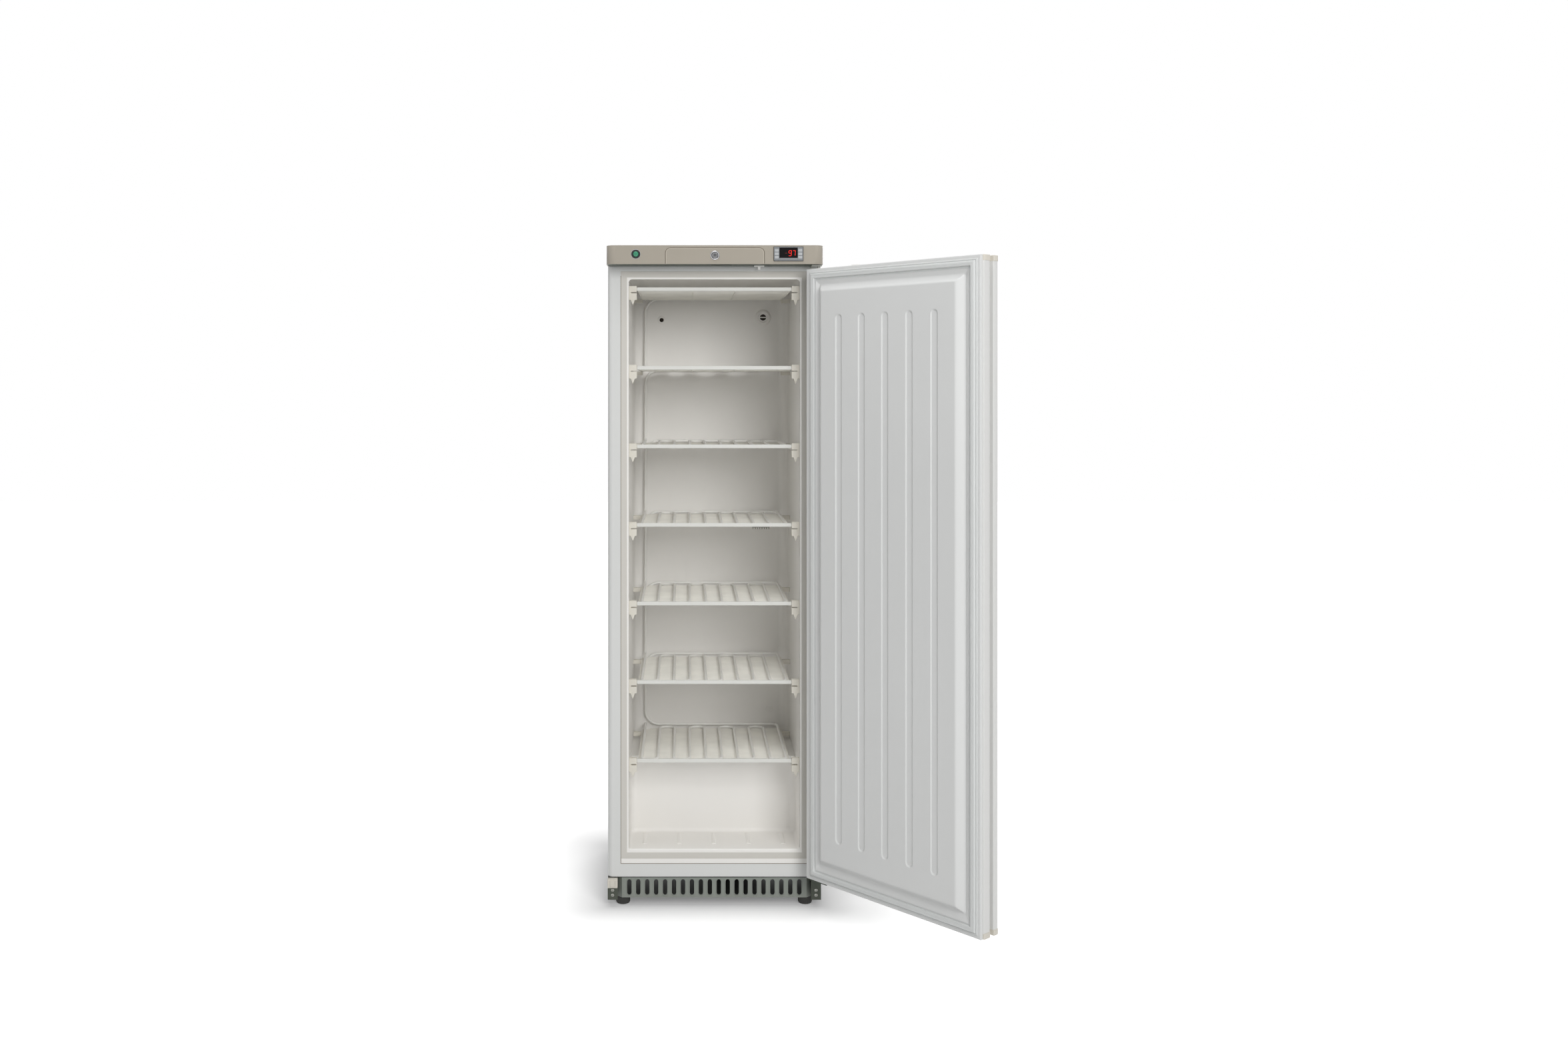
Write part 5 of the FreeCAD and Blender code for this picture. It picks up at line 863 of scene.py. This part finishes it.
class FREEZER_OT_wall(bpy.types.Operator):
    """Makes the vent cap, the sensor ring and the plug in the rear wall, dark discs of painted shade in the vent's
    opening and the sensor's hole, and the comb under the fourth rail
    """
    bl_idname = "freezer.wall"
    bl_label = "Rear wall fittings"

    def execute(self, context):
        spot = (163, BACK_WALL, 1683)
        vent = [(0, 3.2), (13, 3.2), (14.2, 3.4), (15, 5.2), (16.2, 6.6), (18, 7), (20.4, 6.4), (22.4, 4.4),
                (24.2, 2.6), (25, 1.2), (25, 0), (0, 0)]
        bar = slab((148.4, 177.6), (BACK_WALL - 5.4, BACK_WALL - 3), (1681.4, 1684.6))
        made("vent_cover", joined(turned(vent, spot, segments=64), bar), "cabinet", "liner_plastic", ["vent_cap"])
        # Dark discs in the vent's opening and in the sensor's hole: painted shade.
        dark = finish("Painted_shade_opening", tone(38, 30, 22), 0.8, mottle=0.2, grain=600, bump=0.2)
        opening = [(0, 3.4), (9.6, 3.4), (9.8, 3.1), (0, 3.1)]
        made("vent_painted_shade", turned(opening, spot), "cabinet", "liner_plastic", look=dark)
        spot = (-156, BACK_WALL, 1675)
        ring = [(6.4, 0), (6.4, 1.6), (7.4, 2.9), (9.4, 3), (11.6, 2.2), (13, 0.8), (13, 0)]
        made("sensor_ring", turned(ring, spot, segments=40, closed=True), "cabinet", "liner_plastic",
             ["sensor_grommet"])
        hole = [(0, 0.7), (6.6, 0.5), (6.6, 0), (0, 0)]
        made("sensor_hole", turned(hole, spot, segments=32), "cabinet", "liner_plastic", look=dark)
        plug = [(0, 2), (7.6, 2), (8.2, 1.2), (9, 1.2), (9.6, 1.8), (10.6, 1.4), (11, 0.5), (11, 0), (0, 0)]
        made("blind_plug", turned(plug, (182, BACK_WALL, 452), segments=40), "cabinet", "liner_plastic",
             ["wall_plug"])
        made("cable_comb", comb(SHELF_HEIGHTS[3]), "cabinet", "clip_plastic", edge=0.0003,
             look=finish("Comb_plastic", tone(120, 118, 110), 0.55, mottle=0.1, grain=1200, bump=0.1))
        return {"FINISHED"}


class FREEZER_OT_stage(bpy.types.Operator):
    """Makes the pale floor, the soft studio light and the camera"""
    bl_idname = "freezer.stage"
    bl_label = "Stage, light and camera"

    def execute(self, context):
        self.floor(context.scene)
        self.world(context.scene)
        self.lamps(context.scene)
        self.camera(context.scene)
        context.scene.view_settings.view_transform = "Standard"
        return {"FINISHED"}

    def floor(self, scene):
        """A pale floor that keeps the freezer's real shadow and adds a painted contact shadow: its glow is weakest
        at the footprint and grows white with the distance from it, the length of the part of (x, y) that lies
        outside the footprint, over the reach of the painted shadow."""
        line = np.linspace(-14, 14, 15)
        gx, gy = np.meshgrid(line, line, indexing="ij")
        points, faces = sheet_of(np.stack([gx, gy, np.zeros_like(gx)], -1))
        mesh = bpy.data.meshes.new("studio_floor")
        mesh.from_pydata(points.tolist(), [], faces)
        floor = bpy.data.objects.new("studio_floor", mesh)
        scene.collection.objects.link(floor)
        paper = bpy.data.materials.new("Studio_paper")
        paper.use_nodes = True
        tree = paper.node_tree
        tree.nodes.clear()
        footprint, painted_shadow_reach = (0.3, 0.262, 0), 3.0
        place = add_node(tree, "TexCoord").outputs["Object"]
        for operation, values in (("ABSOLUTE", {}), ("SUBTRACT", {1: footprint}), ("MAXIMUM", {1: (0, 0, 0)})):
            place = add_node(tree, "VectorMath", values, {0: place}, operation=operation).outputs["Vector"]
        away = add_node(tree, "VectorMath", sources={0: place}, operation="LENGTH").outputs["Value"]
        share = add_node(tree, "Math", {1: painted_shadow_reach}, {0: away}, operation="DIVIDE").outputs[0]
        # The floor's glow is weaker near the footprint: a painted contact shadow.
        painted_shadow_ramp = add_node(tree, "ValToRGB", sources={"Fac": share})
        ramp = painted_shadow_ramp.color_ramp.elements
        ramp[0].color = (0.2, 0.2, 0.2, 1)
        for spot, grey in ((0.035, 0.5), (0.09, 0.8), (0.25, 0.9)):
            ramp.new(spot).color = (grey, grey, grey, 1)
        strength = add_node(tree, "Math", sources={0: seen_directly(tree), 1: painted_shadow_ramp.outputs["Color"]},
                            operation="MULTIPLY").outputs[0]
        matt = add_node(tree, "BsdfDiffuse", {"Color": (0.7, 0.7, 0.7, 1)}).outputs[0]
        glow = add_node(tree, "Emission", sources={"Strength": strength}).outputs[0]
        both = add_node(tree, "AddShader", sources={0: matt, 1: glow}).outputs[0]
        add_node(tree, "OutputMaterial", sources={"Surface": both})
        mesh.materials.append(paper)

    def world(self, scene):
        """White where it is seen, and a weak even light on the object."""
        ambient = 0.3
        scene.world = bpy.data.worlds.new("Studio")
        scene.world.use_nodes = True
        tree = scene.world.node_tree
        back = tree.nodes["Background"].inputs
        back["Color"].default_value = (1, 1, 1, 1)
        tree.links.new(graded(tree, seen_directly(tree), (0, 1), (ambient, 1)), back["Strength"])

    def lamps(self, scene):
        """Square soft lamps, in metres and watts, each turned towards its aim."""
        for name, place, aim, size, power in (
                ("Front_softbox", (1.5, -4.7, 2.7), (0, 0, 1.0), 2.0, 124),
                ("Left_softbox", (-3.4, -2.4, 2.0), (0, 0, 1.0), 2.0, 9),
                ("Top_softbox", (-0.2, -0.6, 3.9), (0, 0, 0.8), 2.0, 30),
                ("Rear_softbox", (1.5, 4.2, 2.6), (0, 0, 1.0), 2.2, 55)):
            data = bpy.data.lights.new(name, "AREA")
            data.size, data.energy = size, power
            lamp = bpy.data.objects.new(name, data)
            lamp.location = place
            away = np.array(place, float) - np.array(aim, float)
            lamp.rotation_euler = (math.acos(away[2] / np.linalg.norm(away)), 0,
                                   math.atan2(away[1], away[0]) + math.pi / 2)
            lamp.visible_glossy = name != "Front_softbox"
            scene.collection.objects.link(lamp)

    def camera(self, scene):
        """A level camera; its focal length and shift are given in pixels of a picture 2352 wide."""
        picture_width, picture_height = 2352, 1568
        focal_length, centre_x, centre_y = 2122.27, 1026.745, 583.606
        data = bpy.data.cameras.new("Camera")
        data.sensor_fit, data.sensor_width = "HORIZONTAL", 36
        data.lens = focal_length / picture_width * data.sensor_width
        data.shift_x = (picture_width / 2 - centre_x) / picture_width
        data.shift_y = -(picture_height / 2 - centre_y) / picture_width
        camera = bpy.data.objects.new("Camera", data)
        camera.location = (-0.08393, -4.245, 1.45816)
        camera.rotation_euler = (math.pi / 2, 0, 0)
        scene.collection.objects.link(camera)
        scene.camera = camera


OPERATORS = (FREEZER_OT_stage, FREEZER_OT_finishes, FREEZER_OT_shelves, FREEZER_OT_condenser, FREEZER_OT_door,
             FREEZER_OT_mouth, FREEZER_OT_header, FREEZER_OT_foot, FREEZER_OT_wall)


class FREEZER_PT_panel(bpy.types.Panel):
    """Lists the freezer's pieces, sizes and colours"""
    bl_label = "Freezer"
    bl_idname = "FREEZER_PT_panel"
    bl_space_type = "VIEW_3D"
    bl_region_type = "UI"
    bl_category = "Freezer"

    def draw(self, context):
        for operator in OPERATORS:
            self.layout.operator(operator.bl_idname)
        for group in (context.scene.freezer_sizes, context.scene.freezer_colours):
            for name in group.__annotations__:
                self.layout.prop(group, name)


CLASSES = (FreezerSizes, FreezerColours, *OPERATORS, FREEZER_PT_panel)


def register():
    for item in CLASSES:
        bpy.utils.register_class(item)
    bpy.types.Scene.freezer_sizes = PointerProperty(type=FreezerSizes)
    bpy.types.Scene.freezer_colours = PointerProperty(type=FreezerColours)


def unregister():
    del bpy.types.Scene.freezer_colours
    del bpy.types.Scene.freezer_sizes
    for item in reversed(CLASSES):
        bpy.utils.unregister_class(item)


def main():
    register()
    for operator in OPERATORS:
        space, name = operator.bl_idname.split(".")
        result = getattr(getattr(bpy.ops, space), name)()
        if result != {"FINISHED"}:
            raise RuntimeError(operator.bl_idname + " didn't finish")
    bpy.context.view_layer.update()


if __name__ == "__main__":
    main()
